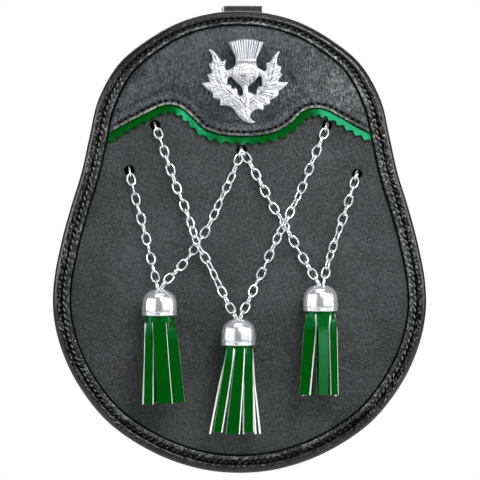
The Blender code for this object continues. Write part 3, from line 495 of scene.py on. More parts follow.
def leatherMaterial(kind):
    # a mesh's worn attribute shows its pale edges and its painted highlights, and its sunk one its painted
    # shade: dark and dull places
    look = leathers[kind]
    material, tree, shader = newMaterial(f"{kind}Leather")
    inputs = {"Pebble mm": look["pebble"], "Depth mm": look["depth"], "Stretch": look.get("stretch", 1.0),
              "Wrinkle": look["wrinkle"], "Streak": look.get("streak", 0.0)}
    grained = addNode(tree, "ShaderNodeGroup", inputs, node_tree=grainGroup)
    rubbed = addNode(tree, "ShaderNodeGroup", {"Amount": 0.7}, node_tree=wearGroup)
    # the creases take the darker crease colour, as painted shade
    colour = blendColours(tree, grained.outputs["CreaseShade"], look["tone"], look["crease"])
    colour = blendColours(tree, rubbed.outputs["Mask"], colour, look["worn"])
    fleck = blendValues(tree, rubbed.outputs["Mask"], *look.get("fleck", (0.62, 1.7)))
    # the worn attribute's pale edge colour, which on the binding and the cantle is also painted highlight
    edge = times(tree, attributeOf(tree, "worn"), fleck)
    colour = blendColours(tree, edge, colour, look.get("edge", look["worn"]))
    # painted shade: the sunk attribute turns the colour near black and dulls the shine
    sunk = attributeOf(tree, "sunk")
    colour = blendColours(tree, sunk, colour, (0.001, 0.001, 0.001))
    shine = blendValues(tree, sunk, look.get("shine", 0.5), 0.04)
    shine = times(tree, shine, blendValues(tree, grained.outputs["CreaseShade"], 1.0, 0.45))
    feed(tree, shader, {
        "Base Color": colour,
        "IOR": 1.5,
        "Specular IOR Level": shine,
        "Specular Tint": (*look.get("tint", (1.0, 1.0, 1.0)), 1.0),
        "Roughness": blendValues(tree, grained.outputs["Cloud"], *look["rough"]),
        "Normal": grained.outputs["Normal"],
    })
    return material


def paint(mesh, name, values):
    layer = mesh.attributes.new(name, "FLOAT", "POINT")
    layer.data.foreach_set("value", np.clip(values, 0, 1).astype(np.float32))


def pointsOf(mesh):
    flat = np.empty(len(mesh.vertices) * 3)
    mesh.vertices.foreach_get("co", flat)
    return flat.reshape(-1, 3)


def metalMaterial(name):
    # bright metal; its sunk places, where the mesh has a patina attribute, are dark
    look = metals[name]
    material, tree, shader = newMaterial(name)
    inputs = {"Patch mm": look["patch"], "Amount": 1.0, "Speckle": 0.3}
    rubbed = addNode(tree, "ShaderNodeGroup", inputs, node_tree=wearGroup)
    colour = blendColours(tree, rubbed.outputs["Mask"], look["bright"], look["dull"])
    if "patina" in look:
        colour = blendColours(tree, attributeOf(tree, "patina"), colour, look["patina"])
    grains = noiseAt(tree, objectPlace(tree), look["grain"], 3.0)
    bump = addNode(tree, "ShaderNodeBump", {"Height": grains, "Distance": look["depth"] * mm})
    feed(tree, shader, {
        "Base Color": colour,
        "Metallic": look["metallic"],
        "Roughness": blendValues(tree, rubbed.outputs["Mask"], *look["rough"]),
        "Normal": bump.outputs[0],
    })
    return material


def fibreMaterial(name):
    # thread, cut leather and the near-black painted shade: two tones of fine fibre
    low, high, rough, scale, shine = fibres[name]
    material, tree, shader = newMaterial(name)
    fibre = noiseAt(tree, objectPlace(tree), scale, 4.0)
    bump = addNode(tree, "ShaderNodeBump", {"Height": fibre, "Distance": 0.08 * mm})
    feed(tree, shader, {
        "Base Color": blendColours(tree, fibre, low, high),
        "Roughness": rough,
        "Specular IOR Level": shine,
        "Normal": bump.outputs[0],
    })
    return material


metals = {
    "polishedChrome": {
        "bright": (0.85, 0.85, 0.865), "dull": (0.74, 0.74, 0.76), "rough": (0.18, 0.25), "patch": 9.0,
        "grain": 500.0, "depth": 0.002, "metallic": 0.78,
    },
    "castSilver": {
        "bright": (0.71, 0.71, 0.75), "dull": (0.50, 0.50, 0.53), "patina": (0.012, 0.012, 0.015),
        "rough": (0.28, 0.38), "patch": 4.0, "grain": 1500.0, "depth": 0.07, "metallic": 0.6,
    },
}

fibres = {  # two tones, roughness, scale and shine
    "blackThread": ((0.020, 0.020, 0.020), (0.085, 0.087, 0.086), 0.36, 2600.0, 0.5),
    # the binding's black thread, made grey as its painted sheen
    "paintedSheenThread": ((0.070, 0.073, 0.071), (0.26, 0.27, 0.265), 0.30, 2600.0, 0.5),
    # near black and dull, as painted shade: the binding's needle-hole dots and the cantle's stitches
    "shadeBlack": ((0.001, 0.001, 0.001), (0.003, 0.003, 0.003), 0.9, 900.0, 0.05),
    "paleCut": ((0.80, 0.86, 0.80), (0.97, 0.99, 0.97), 0.75, 1500.0, 0.5),
}

finish = {kind: leatherMaterial(kind) for kind in leathers}
finish.update({name: metalMaterial(name) for name in metals})
finish.update({name: fibreMaterial(name) for name in fibres})
print("materials made")


def facingRotation(tree, tangent, alongAxis, faceAxis, facing):
    # turns a shape so that one of its axes follows the line and another faces out
    turned = addNode(tree, "FunctionNodeAlignRotationToVector", {"Vector": tangent}, axis=alongAxis)
    inputs = {"Rotation": turned.outputs[0], "Vector": facing}
    return addNode(tree, "FunctionNodeAlignRotationToVector", inputs, axis=faceAxis,
                   pivot_axis=alongAxis).outputs[0]


def axisTurn(tree, rotation, axis, degrees):
    angle = sums(tree, "RADIANS", degrees)
    turn = addNode(tree, "FunctionNodeAxisAngleToRotation", {"Axis": axis, "Angle": angle})
    return addNode(tree, "FunctionNodeRotateRotation", {"Rotation": rotation, "Rotate By": turn.outputs[0]},
                   rotation_space="LOCAL").outputs[0]


def spotsAlong(tree, given, label):
    # as many spots along the given line as that input says
    curve = addNode(tree, "GeometryNodeMeshToCurve", {"Mesh": given["Geometry"]})
    return addNode(tree, "GeometryNodeCurveToPoints", {"Curve": curve.outputs[0], "Count": given[label]},
                   mode="COUNT").outputs


def endRow(tree, given, result, spots, shape, rotation):
    # the shape at every spot, as real geometry in the given finish
    row = addNode(tree, "GeometryNodeInstanceOnPoints",
                  {"Points": spots["Points"], "Instance": shape.outputs[0], "Rotation": rotation})
    real = addNode(tree, "GeometryNodeRealizeInstances", {"Geometry": row.outputs[0]})
    smoothed = addNode(tree, "GeometryNodeSetShadeSmooth", {"Geometry": real.outputs[0]})
    done = addNode(tree, "GeometryNodeSetMaterial",
                   {"Geometry": smoothed.outputs[0], "Material": given["Finish"]})
    feed(tree, result, {"Geometry": done.outputs[0]})
    return tree


def evenChance(tree, seed):
    # from -1 to 1, its own for each spot
    return addNode(tree, "FunctionNodeRandomValue", {2: -1.0, 3: 1.0, "Seed": seed},
                   data_type="FLOAT").outputs[1]


def stitchTree():
    # a row of stitches on a line: each is a rounded thread, slanted and partly sunk
    tree, given, result = newGroup(
        "stitchRow", "GeometryNodeTree",
        {"Geometry": "Geometry", "Stitches": 10, "Length": 1.5 * mm, "Width": 0.6 * mm, "Height": 0.5 * mm,
         "Slant": 0.0, "Uneven": 4.0, "Facing": (0.0, -1.0, 0.0), "Finish": "Material"},
        {"Geometry": "Geometry"},
    )
    spots = spotsAlong(tree, given, "Stitches")
    size = addNode(tree, "ShaderNodeCombineXYZ",
                   {"X": given["Length"], "Y": given["Width"], "Z": given["Height"]})
    ball = addNode(tree, "GeometryNodeMeshUVSphere", {"Segments": 8, "Rings": 6, "Radius": 0.5})
    thread = addNode(tree, "GeometryNodeTransform",
                     {"Geometry": ball.outputs["Mesh"], "Scale": size.outputs[0]})
    rotation = facingRotation(tree, spots["Tangent"], "X", "Z", given["Facing"])
    slant = plus(tree, given["Slant"], times(tree, evenChance(tree, 7), given["Uneven"]))
    rotation = axisTurn(tree, rotation, (0.0, 0.0, 1.0), slant)
    return endRow(tree, given, result, spots, thread, rotation)


def chainTree():
    # oval wire links threaded along a line, each turned against the one before it
    tree, given, result = newGroup(
        "chainLinks", "GeometryNodeTree",
        {"Geometry": "Geometry", "Links": 20, "Link length": 6.5 * mm, "Link width": 4.6 * mm,
         "Wire": 1.1 * mm, "First turn": 15.0, "Second turn": 75.0, "Loose": 6.0, "Drift": 20.0,
         "Drift scale": 0.1, "Seed": 3, "Finish": "Material"},
        {"Geometry": "Geometry"},
    )
    ringRadius = times(tree, minus(tree, given["Link width"], given["Wire"]), 0.5)
    straight = times(tree, minus(tree, given["Link length"], given["Link width"]), 0.5)
    circle = addNode(tree, "GeometryNodeCurvePrimitiveCircle", {"Resolution": 20, "Radius": ringRadius},
                     mode="RADIUS")
    place = addNode(tree, "GeometryNodeInputPosition").outputs[0]
    place = addNode(tree, "ShaderNodeSeparateXYZ", {0: place})
    side = sums(tree, "DIVIDE", place.outputs["Y"], times(tree, ringRadius, 0.75))
    side = addNode(tree, "ShaderNodeClamp", {"Value": side, "Min": -1.0, "Max": 1.0}).outputs[0]
    shift = addNode(tree, "ShaderNodeCombineXYZ", {"Y": times(tree, side, straight)})
    oval = addNode(tree, "GeometryNodeSetPosition",
                   {"Geometry": circle.outputs[0], "Offset": shift.outputs[0]})
    wire = addNode(tree, "GeometryNodeCurvePrimitiveCircle",
                   {"Resolution": 7, "Radius": times(tree, given["Wire"], 0.5)}, mode="RADIUS")
    link = addNode(tree, "GeometryNodeCurveToMesh",
                   {"Curve": oval.outputs[0], "Profile Curve": wire.outputs[0]})
    spots = spotsAlong(tree, given, "Links")
    rotation = facingRotation(tree, spots["Tangent"], "Y", "Z", (0.0, -1.0, 0.0))
    index = addNode(tree, "GeometryNodeInputIndex").outputs[0]
    odd = sums(tree, "MODULO", index, 2.0)
    turn = blendValues(tree, odd, given["First turn"], given["Second turn"])
    turn = plus(tree, turn, times(tree, evenChance(tree, given["Seed"]), given["Loose"]))
    # a slow twist along the chain, none at its ends
    number = plus(tree, index, times(tree, given["Seed"], 31.0))
    twist = addNode(tree, "ShaderNodeTexNoise", {"W": number, "Scale": given["Drift scale"], "Detail": 0.0},
                    noise_dimensions="1D").outputs["Fac"]
    twist = times(tree, minus(tree, twist, 0.5), given["Drift"])
    nearHead = shareOf(tree, index, 1.0, 5.0)
    nearFoot = shareOf(tree, minus(tree, given["Links"], index), 2.0, 6.0)
    turn = plus(tree, turn, times(tree, twist, times(tree, nearHead, nearFoot)))
    rotation = axisTurn(tree, rotation, (0.0, 1.0, 0.0), turn)
    return endRow(tree, given, result, spots, link, rotation)


def grow(name, tree, path, values, closed=False):
    # runs a tree on a line of points and keeps the plain mesh that it makes
    count = len(path)
    edges = [(i, i + 1) for i in range(count - 1)] + ([(count - 1, 0)] if closed else [])
    line = bpy.data.meshes.new(name)
    line.from_pydata(np.asarray(path, float).tolist(), edges, [])
    guide = bpy.data.objects.new(name, line)
    bpy.context.scene.collection.objects.link(guide)
    modifier = guide.modifiers.new(name, "NODES")
    modifier.node_group = tree
    for item in tree.interface.items_tree:
        if item.item_type == "SOCKET" and item.in_out == "INPUT" and item.name in values:
            modifier[item.identifier] = values[item.name]
    depsgraph = bpy.context.evaluated_depsgraph_get()
    mesh = bpy.data.meshes.new_from_object(guide.evaluated_get(depsgraph))
    bpy.data.objects.remove(guide)
    mesh.name = name
    return mesh


def joined(name, meshes):
    # several meshes with the same materials as one
    shape = bmesh.new()
    for mesh in meshes:
        shape.from_mesh(mesh)
    whole = bpy.data.meshes.new(name)
    shape.to_mesh(whole)
    shape.free()
    for material in meshes[0].materials:
        whole.materials.append(material)
    return whole


stitches = stitchTree()


def sewRow(name, row, count, look, thread, closed=False, facing=(0.0, -1.0, 0.0)):
    # look: a stitch's length, width and height in mm, its slant and how uneven that is in degrees
    length, width, height, slant, uneven = look
    values = {"Stitches": count, "Length": length * mm, "Width": width * mm, "Height": height * mm,
              "Slant": slant, "Uneven": uneven, "Facing": facing, "Finish": finish[thread]}
    return grow(name, stitches, row, values, closed)


holes = {
    "radius": 2.3 * mm,
    # across and drop, in mm
    "places": ((-55.2, 79.7), (-42.2, 57.2), (1.0, 69.5), (43.8, 57.0), (58.8, 81.5)),
    "pucker": (0.35 * mm, 1.3 * mm),  # height and width
}

frontLeather = {
    "spacing": 1.7 * mm,
    "rimPoints": 320,
    "waver": 0.12 * mm,
    "bumps": ((30 * mm, 24 * mm), 2.0),  # the waver's size along each axis, and its seed
    "rounding": 0.5 * mm,
}


def makeFront():
    loops = [insetRim(pouch["frontInset"], frontLeather["rimPoints"])]
    turn = np.linspace(0, 2 * math.pi, 24, endpoint=False)
    ring = np.column_stack([np.cos(turn), np.sin(turn)]) * holes["radius"]
    loops += [ring + place for place in flatPlaces(holes["places"])]

    def depths(flat, edge):
        x, z = flat.T
        face = frontFace(x, z) + frontLeather["waver"] * waves(flat, *frontLeather["bumps"])
        pucker, width = holes["pucker"]
        face = face + pucker * hump(loopDistance(flat, loops[1:]), width)
        return face + rounded(edge, frontLeather["rounding"]), frontFace(x, z) + pouch["leather"]

    mesh = sheetMesh("frontLeather", loops, frontLeather["spacing"], depths)
    # painted shade in each chain hole: its cut walls and a thin ring round it go dark
    toHoles = loopDistance(pointsOf(mesh)[:, [0, 2]], loops[1:])
    paint(mesh, "sunk", 0.9 * hump(toHoles, 0.4 * mm))
    addPiece("frontLeather", mesh, finish["panel"], "black_leather", "front_panel")


binding = {
    "topWidth": 7.0 * mm,
    "sideWidth": 9.0 * mm,
    "wrap": 2.2 * mm,  # this much nearest the outline keeps its shape where the width changes
    "clear": 0.7 * mm,
    "behind": 2.9 * mm,  # how far its back lies behind the front leather's middle
    "stations": 1080,
    "pucker": 0.32 * mm,
    "stitchDip": 0.35 * mm,
    "stitchPitch": 3.3 * mm,
    # how far in the stitches and needle holes are, in mm, how far forward, and how much deeper at the
    # top and the foot; then what sewRow takes
    "stitchInset": 5.6,
    "stitchDepth": (2.25 * mm, 0.8 * mm),
    "stitch": (2.6, 0.85, 0.9, 28.0, 10.0),
    "holeInset": 4.8,
    "holeDepth": (2.1 * mm, 0.35 * mm),
    # black dots of painted shade where the needle holes are
    "holeShadeDot": (2.0, 1.3, 0.8, 28.0, 14.0),
    # where each effect rises, is full, fades and ends: mm in from the outline, and down it for the sides
    "puckered": (1.6, 2.9, 7.9, 8.8),
    "wrinkled": (1.7, 2.3, 5.5, 6.3),
    "swollen": (0.9, 2.2, 4.0, 5.0),
    "lobed": (5.6, 6.8, 8.1, 8.9),
    "ridge": (5.9, 6.6, 8.1, 8.5),
    "sides": (20.0, 60.0, 192.0, 222.0),
    # size of each unevenness along and across, in mm, and its seed
    "folds": ((2.1, 7.0), 4.0),
    "fineFolds": ((0.9, 3.0), 9.0),
    "lobes": ((4.2, 12.0), 27.0),
    "swells": ((3.4, 9.0), 61.0),
    "specks": ((1.0, 0.9), 31.0),
    "rimSpecks": ((2.0, 1.2), 51.0),
    "front": (  # in from the outline, and forward of the front leather's middle, in mm
        (9.35, 1.35), (9.35, 1.6), (9.0, 1.75), (8.95, 2.5), (8.7, 3.1), (8.0, 3.5), (7.1, 3.4),
        (6.3, 2.85), (5.7, 2.1), (5.2, 1.8), (4.7, 2.2), (4.2, 2.9), (3.5, 3.5), (2.7, 3.6), (2.0, 3.35),
        (1.3, 2.85), (0.65, 2.1), (0.2, 1.2), (0.0, 0.0), (0.3, -1.5), (1.0, -2.4), (2.4, -2.9),
    ),
    "inside": (
        (5.0, -2.9), (7.6, -2.9), (7.6, -1.45), (4.8, -1.4), (1.9, -1.4), (1.9, 0.0), (1.9, 1.4),
        (5.5, 1.45),
    ),
}


def slanted(along, across, slant):
    return np.column_stack([along + slant * across, across])


def makeBinding():
    count = binding["stations"]
    base = rimLine(count)
    inward = sideways(base, closed=True)
    length = lineLength(base, closed=True)
    stitchCount = round(length / binding["stitchPitch"])
    front = evenly(smoothLine(binding["front"], perSpan=8), 44)
    section = np.vstack([front, binding["inside"]])
    normal = np.zeros_like(section)
    normal[:len(front)] = sideways(front) * (-1, -1)
    scale = (bindingWidth(base[:, 1]) - binding["wrap"]) / (binding["sideWidth"] - binding["wrap"])
    wrap = binding["wrap"] / mm
    along = np.arange(count) * length / count / mm
    across, forward = section.T
    isFront = np.arange(len(section)) < len(front)
    puckered, wrinkled, swollen, lobed, ridge = (
        between(across, *binding[key]) for key in ("puckered", "wrinkled", "swollen", "lobed", "ridge"))
    ridge = ridge * (forward > 2.2)
    atGroove = hump(across - binding["stitchInset"], 1.3)
    atHoles = hump(across - binding["holeInset"], 0.75)
    atRim = hump(across - 7.95, 0.4)
    # a painted shadow along the inner edge, where the binding meets the front leather, and painted shade
    # along the outer edge
    edgeShadow = (forward < 3.4) * (across > 8.15) + 0.8 * (across < 0.35)
    rows, dark, light = [], [], []
    for station in range(count):
        inset = np.where(across > wrap, wrap + (across - wrap) * scale[station], across)
        drop = dropAt(base[station, 1])
        atSide = float(between(drop, *binding["sides"]))
        toStitch = (station * stitchCount / count + 0.5) % 1.0 - 0.5
        toStitch *= length / stitchCount / mm
        spots = slanted(along[station], across, 0.7)
        fold = 0.7 - 2.4 * np.abs(waves(spots, *binding["folds"]))
        fold = fold + 0.5 * waves(spots, *binding["fineFolds"])
        lobes = waves(slanted(spots[:, 0], across, 0.8), *binding["lobes"])
        swell = waves(slanted(spots[:, 0], across, -0.6), *binding["swells"])
        specks = softStep(waves(spots, *binding["specks"]), 0.08, 0.34)
        rimSpecks = softStep(waves(spots, *binding["rimSpecks"]), -0.2, 0.3)

        # how far the leather stands up, in metres
        lift = binding["pucker"] * fold * puckered * (0.4 + 0.6 * atSide)
        lift = lift - binding["stitchDip"] * hump(toStitch, 1.0) * atGroove
        lift = lift + 0.24 * mm * (1 - atSide) * swell * swollen
        lift = lift + (0.56 - 0.22 * atSide) * mm * lobes * lobed
        bridge = (0.25 + 0.40 * (1 - atSide)) * mm * (1 - hump(toStitch, 0.9 + 0.4 * atSide))
        lift = (lift + bridge * atGroove) * isFront
        x = base[station, 0] + inward[station, 0] * (inset * mm + lift * normal[:, 0])
        z = base[station, 1] + inward[station, 1] * (inset * mm + lift * normal[:, 0])
        y = pouch["frontY"] - forward * mm - lift * normal[:, 1]
        rows.append(np.column_stack([x, y, z]))

        # painted shade: dark in the needle holes, along the stitches' groove, in the folds and between the
        # specks, and darker towards the foot
        spread = 0.05 + 0.25 * atSide
        shade = (spread + (1 - spread) * hump(toStitch, 0.85)) * atHoles
        foldShade = 0.45 * np.clip(-fold, 0, 1) * puckered + np.clip(0.55 - 0.9 * fold, 0, 0.85) * wrinkled
        shade += foldShade * (0.2 + 0.8 * atSide) * (1 - 0.75 * specks)
        plain = 0.24 * atSide * wrinkled + 0.16 * (1 - atSide) + 0.16 * float(softStep(drop, 190.0, 222.0))
        plain = plain + 0.42 * ridge * (0.3 + 0.7 * atSide)
        dark.append(shade + plain * (1 - specks) + edgeShadow)

        # painted highlights: pale glints on the specks, the wrinkles and the inner rim, and lit patches on
        # the ridge's lobes at the top and the foot
        litPatches = 0.8 * (1 - atSide) * softStep(lobes, -0.05, 0.30) * ridge
        rubs = (0.12 + 0.62 * atSide) * specks * wrinkled
        light.append((0.04 + 0.60 * specks) * ridge + rubs + 0.45 * atRim * rimSpecks + litPatches)
    faces = gridFaces(count, len(section), roundRows=True, roundColumns=True)
    mesh = meshOf("frontBinding", np.vstack(rows), faces, sharp=60)
    # the sunk attribute carries the painted shade, the worn one the painted highlights
    paint(mesh, "sunk", np.concatenate(dark))
    paint(mesh, "worn", np.concatenate(light))
    addPiece("frontBinding", mesh, finish["binding"], "binding_leather", "front_binding")

    def seam(inset, ahead, deepest):
        spots = rimLine(stitchCount)
        share = (inset * mm - binding["wrap"]) / (binding["sideWidth"] - binding["wrap"])
        inset = binding["wrap"] + share * (bindingWidth(spots[:, 1]) - binding["wrap"])
        spots = spots + sideways(spots, closed=True) * inset[:, None]
        drop = dropAt(spots[:, 1])
        buried = deepest * (softStep(50.0 - drop, 0.0, 25.0) + softStep(drop, 180.0, 205.0))
        return atDepth(spots, pouch["frontY"] - ahead + buried)

    row = seam(binding["stitchInset"], *binding["stitchDepth"])
    sewn = sewRow("bindingStitches", row, stitchCount, binding["stitch"], "paintedSheenThread", closed=True)
    addPiece("bindingStitches", sewn, None, "binding_leather")
    # a row of black dots, painted shade in the needle holes
    row = seam(binding["holeInset"], *binding["holeDepth"])
    shadeDots = sewRow("bindingHoleShadeDots", row, stitchCount, binding["holeShadeDot"], "shadeBlack", closed=True)
    addPiece("bindingHoleShadeDots", shadeDots, None, "binding_leather")


gussetFold = {
    "leather": 1.6 * mm,
    "stations": 420,
    "ripple": 0.45 * mm,
    "ripples": ((9.0, 5.0), 1.0),  # their size along and across, in mm, and a seed
    "deep": 10.0,  # about how deep the fold is, in mm, for an even spacing of its points
    "profile": (  # in from the outline, in mm, and share of the way from front to back
        (3.6, 0.0), (7.2, 0.0), (9.2, 0.14), (12.4, 0.52), (9.6, 0.88), (7.8, 1.0), (5.0, 1.0),
    ),
}


def makeGusset():
    fold = [(inset, share * gussetFold["deep"]) for inset, share in gussetFold["profile"]]
    fold = evenly(smoothLine(fold, perSpan=8), 22)
    share = np.clip(fold[:, 1] / gussetFold["deep"], 0, 1)
    free = np.sin(math.pi * share)
    count = gussetFold["stations"]
    base = rimLine(count)
    inward = sideways(base, closed=True)
    front = pouch["frontY"] + binding["behind"] + pouch["gap"] + gussetFold["leather"] / 2
    along = np.arange(count) * lineLength(base, closed=True) / count / mm
    points = []
    for station in range(count):
        inset = fold[:, 0] * mm
        backZ = base[station, 1] + inward[station, 1] * inset
        back = pouch["backTopY"] + pouch["backLean"] * (pouch["topZ"] - backZ)
        back = back - pouch["leather"] / 2 - pouch["gap"] - gussetFold["leather"] / 2
        spots = np.column_stack([np.full(len(fold), along[station]), fold[:, 1]])
        inset = inset + gussetFold["ripple"] * free * waves(spots, *gussetFold["ripples"])
        x = base[station, 0] + inward[station, 0] * inset
        z = base[station, 1] + inward[station, 1] * inset
        points.append(np.column_stack([x, front + (back - front) * share, z]))
    mesh = meshOf("gussetLeather", np.vstack(points), gridFaces(count, len(fold), roundRows=True), fix=False)
    piece = addPiece("gussetLeather", mesh, finish["gusset"], "black_leather", "gusset")
    solid = piece.modifiers.new("leather", "SOLIDIFY")
    solid.thickness = gussetFold["leather"]
    solid.offset = 0.0


cantle = {
    "leather": 1.6 * mm,
    "hold": 5.4 * mm,  # it rides over the trim this far from its edge
    "ease": 3.0 * mm,
    "roll": 1.0 * mm,  # radius of its lower edge
    "stitchInset": 2.2 * mm,
    "stitchPitch": 3.05 * mm,
    "stitch": (1.8, 1.5, 1.2, -14.0, 12.0),
    "channel": (0.18 * mm, 0.55 * mm),  # depth and width of the stitches' groove
    "ridges": ((1.15, 0.22, 0.6), (3.9, 0.20, 0.9)),  # in from the lower edge, height and width, in mm
    "spacing": 0.95 * mm,
    "bands": (0.2, 0.38, 0.56, 0.78, 1.05, 1.4, 1.75, 2.1, 2.45, 2.8, 3.2),
    # size of each unevenness along both axes, and its seed
    "grain": ((2.0 * mm, 12.0 * mm), 6.0),
    "rubs": ((4 * mm, 4 * mm), 12.0),
    "fineRubs": ((1.1 * mm, 1.1 * mm), 3.0),
    "streaks": ((0.9 * mm, 6.0 * mm), 41.0),
    "edge": (  # its lower edge from left to right: across and drop, in mm
        (-69.0, 63.8), (-56.3, 56.3), (-44.8, 50.4), (-38.5, 47.5), (-33.3, 47.1), (-28.5, 49.0),
        (-22.9, 53.8), (-18.2, 58.6), (-10.5, 61.6), (0.3, 62.8), (10.4, 62.4), (19.4, 60.1),
        (25.7, 56.1), (32.0, 50.2), (37.2, 48.7), (42.5, 49.2), (49.6, 52.6), (58.0, 57.5),
        (71.0, 64.4),
    ),
    "creases": (  # soft folds: two ends and a bend point, across and drop in mm
        ((-32.0, 38.0), (-22.0, 44.0), (-12.5, 57.0)),
        ((56.5, 42.5), (52.0, 44.0), (46.5, 47.5)),
        ((24.0, 30.0), (29.0, 38.0), (36.0, 46.0)),
    ),
    "creaseDip": (0.28, 0.9),  # a crease's depth and width, in mm
    "creaseSwell": (0.2, 2.0, 1.2),  # the swelling beside it: height, how far off and width
}

trim = {
    "leather": 0.9 * mm,
    "tuck": 3.0 * mm,
    "clear": 0.45 * mm,
    "shift": 1.3 * mm,
    "valley": 2.7 * mm,
    "peak": 4.6 * mm,
    "pitch": 5.0 * mm,
    "spacing": 0.9 * mm,
    "curl": 1.30 * mm,
    "bumps": ((7 * mm, 30 * mm), 5.0),
    "rounding": 0.25 * mm,
}


def edgeCurve(count):
    # the cantle's lower edge, on under the binding at both ends
    return evenly(smoothLine(flatPlaces(cantle["edge"])), count)


def clearOfBinding(points, clear):
    nearest = np.argmin(apart(points, denseRim), axis=1)
    away = ((points - denseRim[nearest]) * denseInward[nearest]).sum(axis=1)
    return points[away > bindingWidth(points[:, 1]) + clear]


def cantleEdge(count):
    # the lower edge between the two sides of the binding, and its downward directions
    line = evenly(clearOfBinding(edgeCurve(500), binding["clear"]), count)
    return line, sideways(line)


def makeCantle():
    low, _ = cantleEdge(170)
    dense = denseRim + denseInward * (bindingWidth(denseRim[:, 1]) + 0.35 * mm)[:, None]
    right = np.argmin(np.hypot(*(dense - low[-1]).T))
    left = np.argmin(np.hypot(*(dense - low[0]).T))
    high = evenly(np.vstack([dense[left:], dense[:right + 1]]), 230)
    loop = np.vstack([low[::-1], high[1:-1]])
    creases = [smoothLine(flatPlaces(crease), perSpan=10) for crease in cantle["creases"]]
    lowPoints = evenly(low, 700)
    channel, channelWidth = cantle["channel"]

    def depths(flat, edge):
        x, z = flat.T
        toEdge = apart(flat, lowPoints).min(axis=1)
        over = np.clip((cantle["hold"] + cantle["ease"] - toEdge) / cantle["ease"], 0, 1)
        back = frontFace(x, z) - pouch["gap"] - softStep(over) * (trim["leather"] + pouch["gap"])
        face = back - cantle["leather"] + channel * hump(toEdge - cantle["stitchInset"], channelWidth)
        for inset, height, width in cantle["ridges"]:
            face = face - height * mm * hump(toEdge - inset * mm, width * mm)
        grain = 1 - 2 * np.abs(waves(flat, *cantle["grain"]))
        face = face - 0.09 * mm * grain * softStep(toEdge, 3 * mm, 7 * mm) * softStep(edge, 0.5 * mm, 3 * mm)
        dip, dipWidth = cantle["creaseDip"]
        swell, off, swellWidth = cantle["creaseSwell"]
        for crease in creases:
            away = apart(flat, crease).min(axis=1) / mm
            face = face + (dip * hump(away, dipWidth) - swell * hump(away - off, swellWidth)) * mm
        return face + rounded(edge, cantle["roll"]), back

    mesh = sheetMesh("cantleLeather", [loop], cantle["spacing"], depths, bands=cantle["bands"])
    places = pointsOf(mesh)[:, [0, 2]]
    toEdge = apart(places, lowPoints).min(axis=1) / mm
    drop = dropAt(places[:, 1])
    # the worn paint: a pale rubbed band along the rolled lower edge, a painted highlight line at the edge,
    # strongest where the edge rides high, painted sheen (lit) on the right side above the band, and faint
    # painted sheen on the streaks
    rub = 0.50 + 0.5 * waves(places, *cantle["rubs"]) + 0.7 * waves(places, *cantle["fineRubs"])
    edgeHighlight = softStep(58.0 - drop, 0.0, 8.0)
    band = 0.38 * hump(toEdge - 1.0, 0.45) * rub
    band += (0.22 + 1.4 * edgeHighlight) * hump(toEdge - 0.55, 0.22 + 0.08 * edgeHighlight)
    streak = waves(places, *cantle["streaks"])
    lit = softStep(places[:, 0] / mm, 10.0, 50.0) * softStep(toEdge, 2.6, 4.2)
    paint(mesh, "worn", band + lit * (0.13 + 0.13 * streak) + 0.02 * np.clip(streak, 0, 1))
    # painted shade along the stitches' groove and under the lower edge
    thread = 0.35 * hump(toEdge - cantle["stitchInset"] / mm, 0.38)
    paint(mesh, "sunk", np.maximum(thread, (toEdge < 0.22) * 0.8))
    addPiece("cantleLeather", mesh, finish["cantle"], "black_leather", "cantle")
    line, down = cantleEdge(160)
    line = (line - down * cantle["stitchInset"])[8:-8]
    lift = pouch["gap"] * 2 + trim["leather"] + cantle["leather"] - channel
    row = atDepth(line, frontFace(*line.T) - lift)
    count = round(lineLength(row) / cantle["stitchPitch"])
    # black thread darkened to painted shade, for the thread and the shade in its holes
    sewn = sewRow("cantleStitches", row, count, cantle["stitch"], "shadeBlack")
    addPiece("cantleStitches", sewn, None, "black_leather")


def makeTrim():
    line = edgeCurve(500)
    line = line[np.r_[0, np.cumsum(np.linalg.norm(np.diff(line, axis=0), axis=1))] > trim["shift"]]
    teeth = round(lineLength(line) / trim["pitch"])
    line = evenly(line, 2 * teeth + 1)
    down = sideways(line)
    reach = np.where(np.arange(len(line)) % 2 == 0, trim["valley"], trim["peak"])
    bottom = line + down * reach[:, None]
    corners = np.vstack([a + (b - a) * np.arange(24)[:, None] / 24 for a, b in zip(bottom, bottom[1:])])
    corners = clearOfBinding(corners, trim["clear"])
    kept = [0]
    for number, corner in enumerate(corners):
        turns = number % 6 == 0 or number == len(corners) - 1
        if turns and np.linalg.norm(corner - corners[kept[-1]]) > 0.2 * mm:
            kept.append(number)
    top = clearOfBinding(evenly(line - down * trim["tuck"], 900), trim["clear"])
    loop = np.vstack([corners[kept], evenly(top, 120)[::-1]])

    def depths(flat, edge):
        x, z = flat.T
        away = apart(flat, evenly(line, 500)).min(axis=1)
        below = insideLoop(flat, np.vstack([line, (line + down * trim["peak"] * 1.3)[::-1]]))
        free = np.where(below, away / trim["peak"], 0)
        curl = free ** 1.05 * trim["curl"] * (1 + 0.4 * waves(flat, *trim["bumps"]))
        face = frontFace(x, z) - pouch["gap"] - trim["leather"] - curl
        return face + rounded(edge, trim["rounding"]), face + trim["leather"]

    mesh = sheetMesh("pinkedTrim", [loop], trim["spacing"], depths, bands=(0.15,))
    addPiece("pinkedTrim", mesh, finish["green"], "green_leather", "pinked_trim")


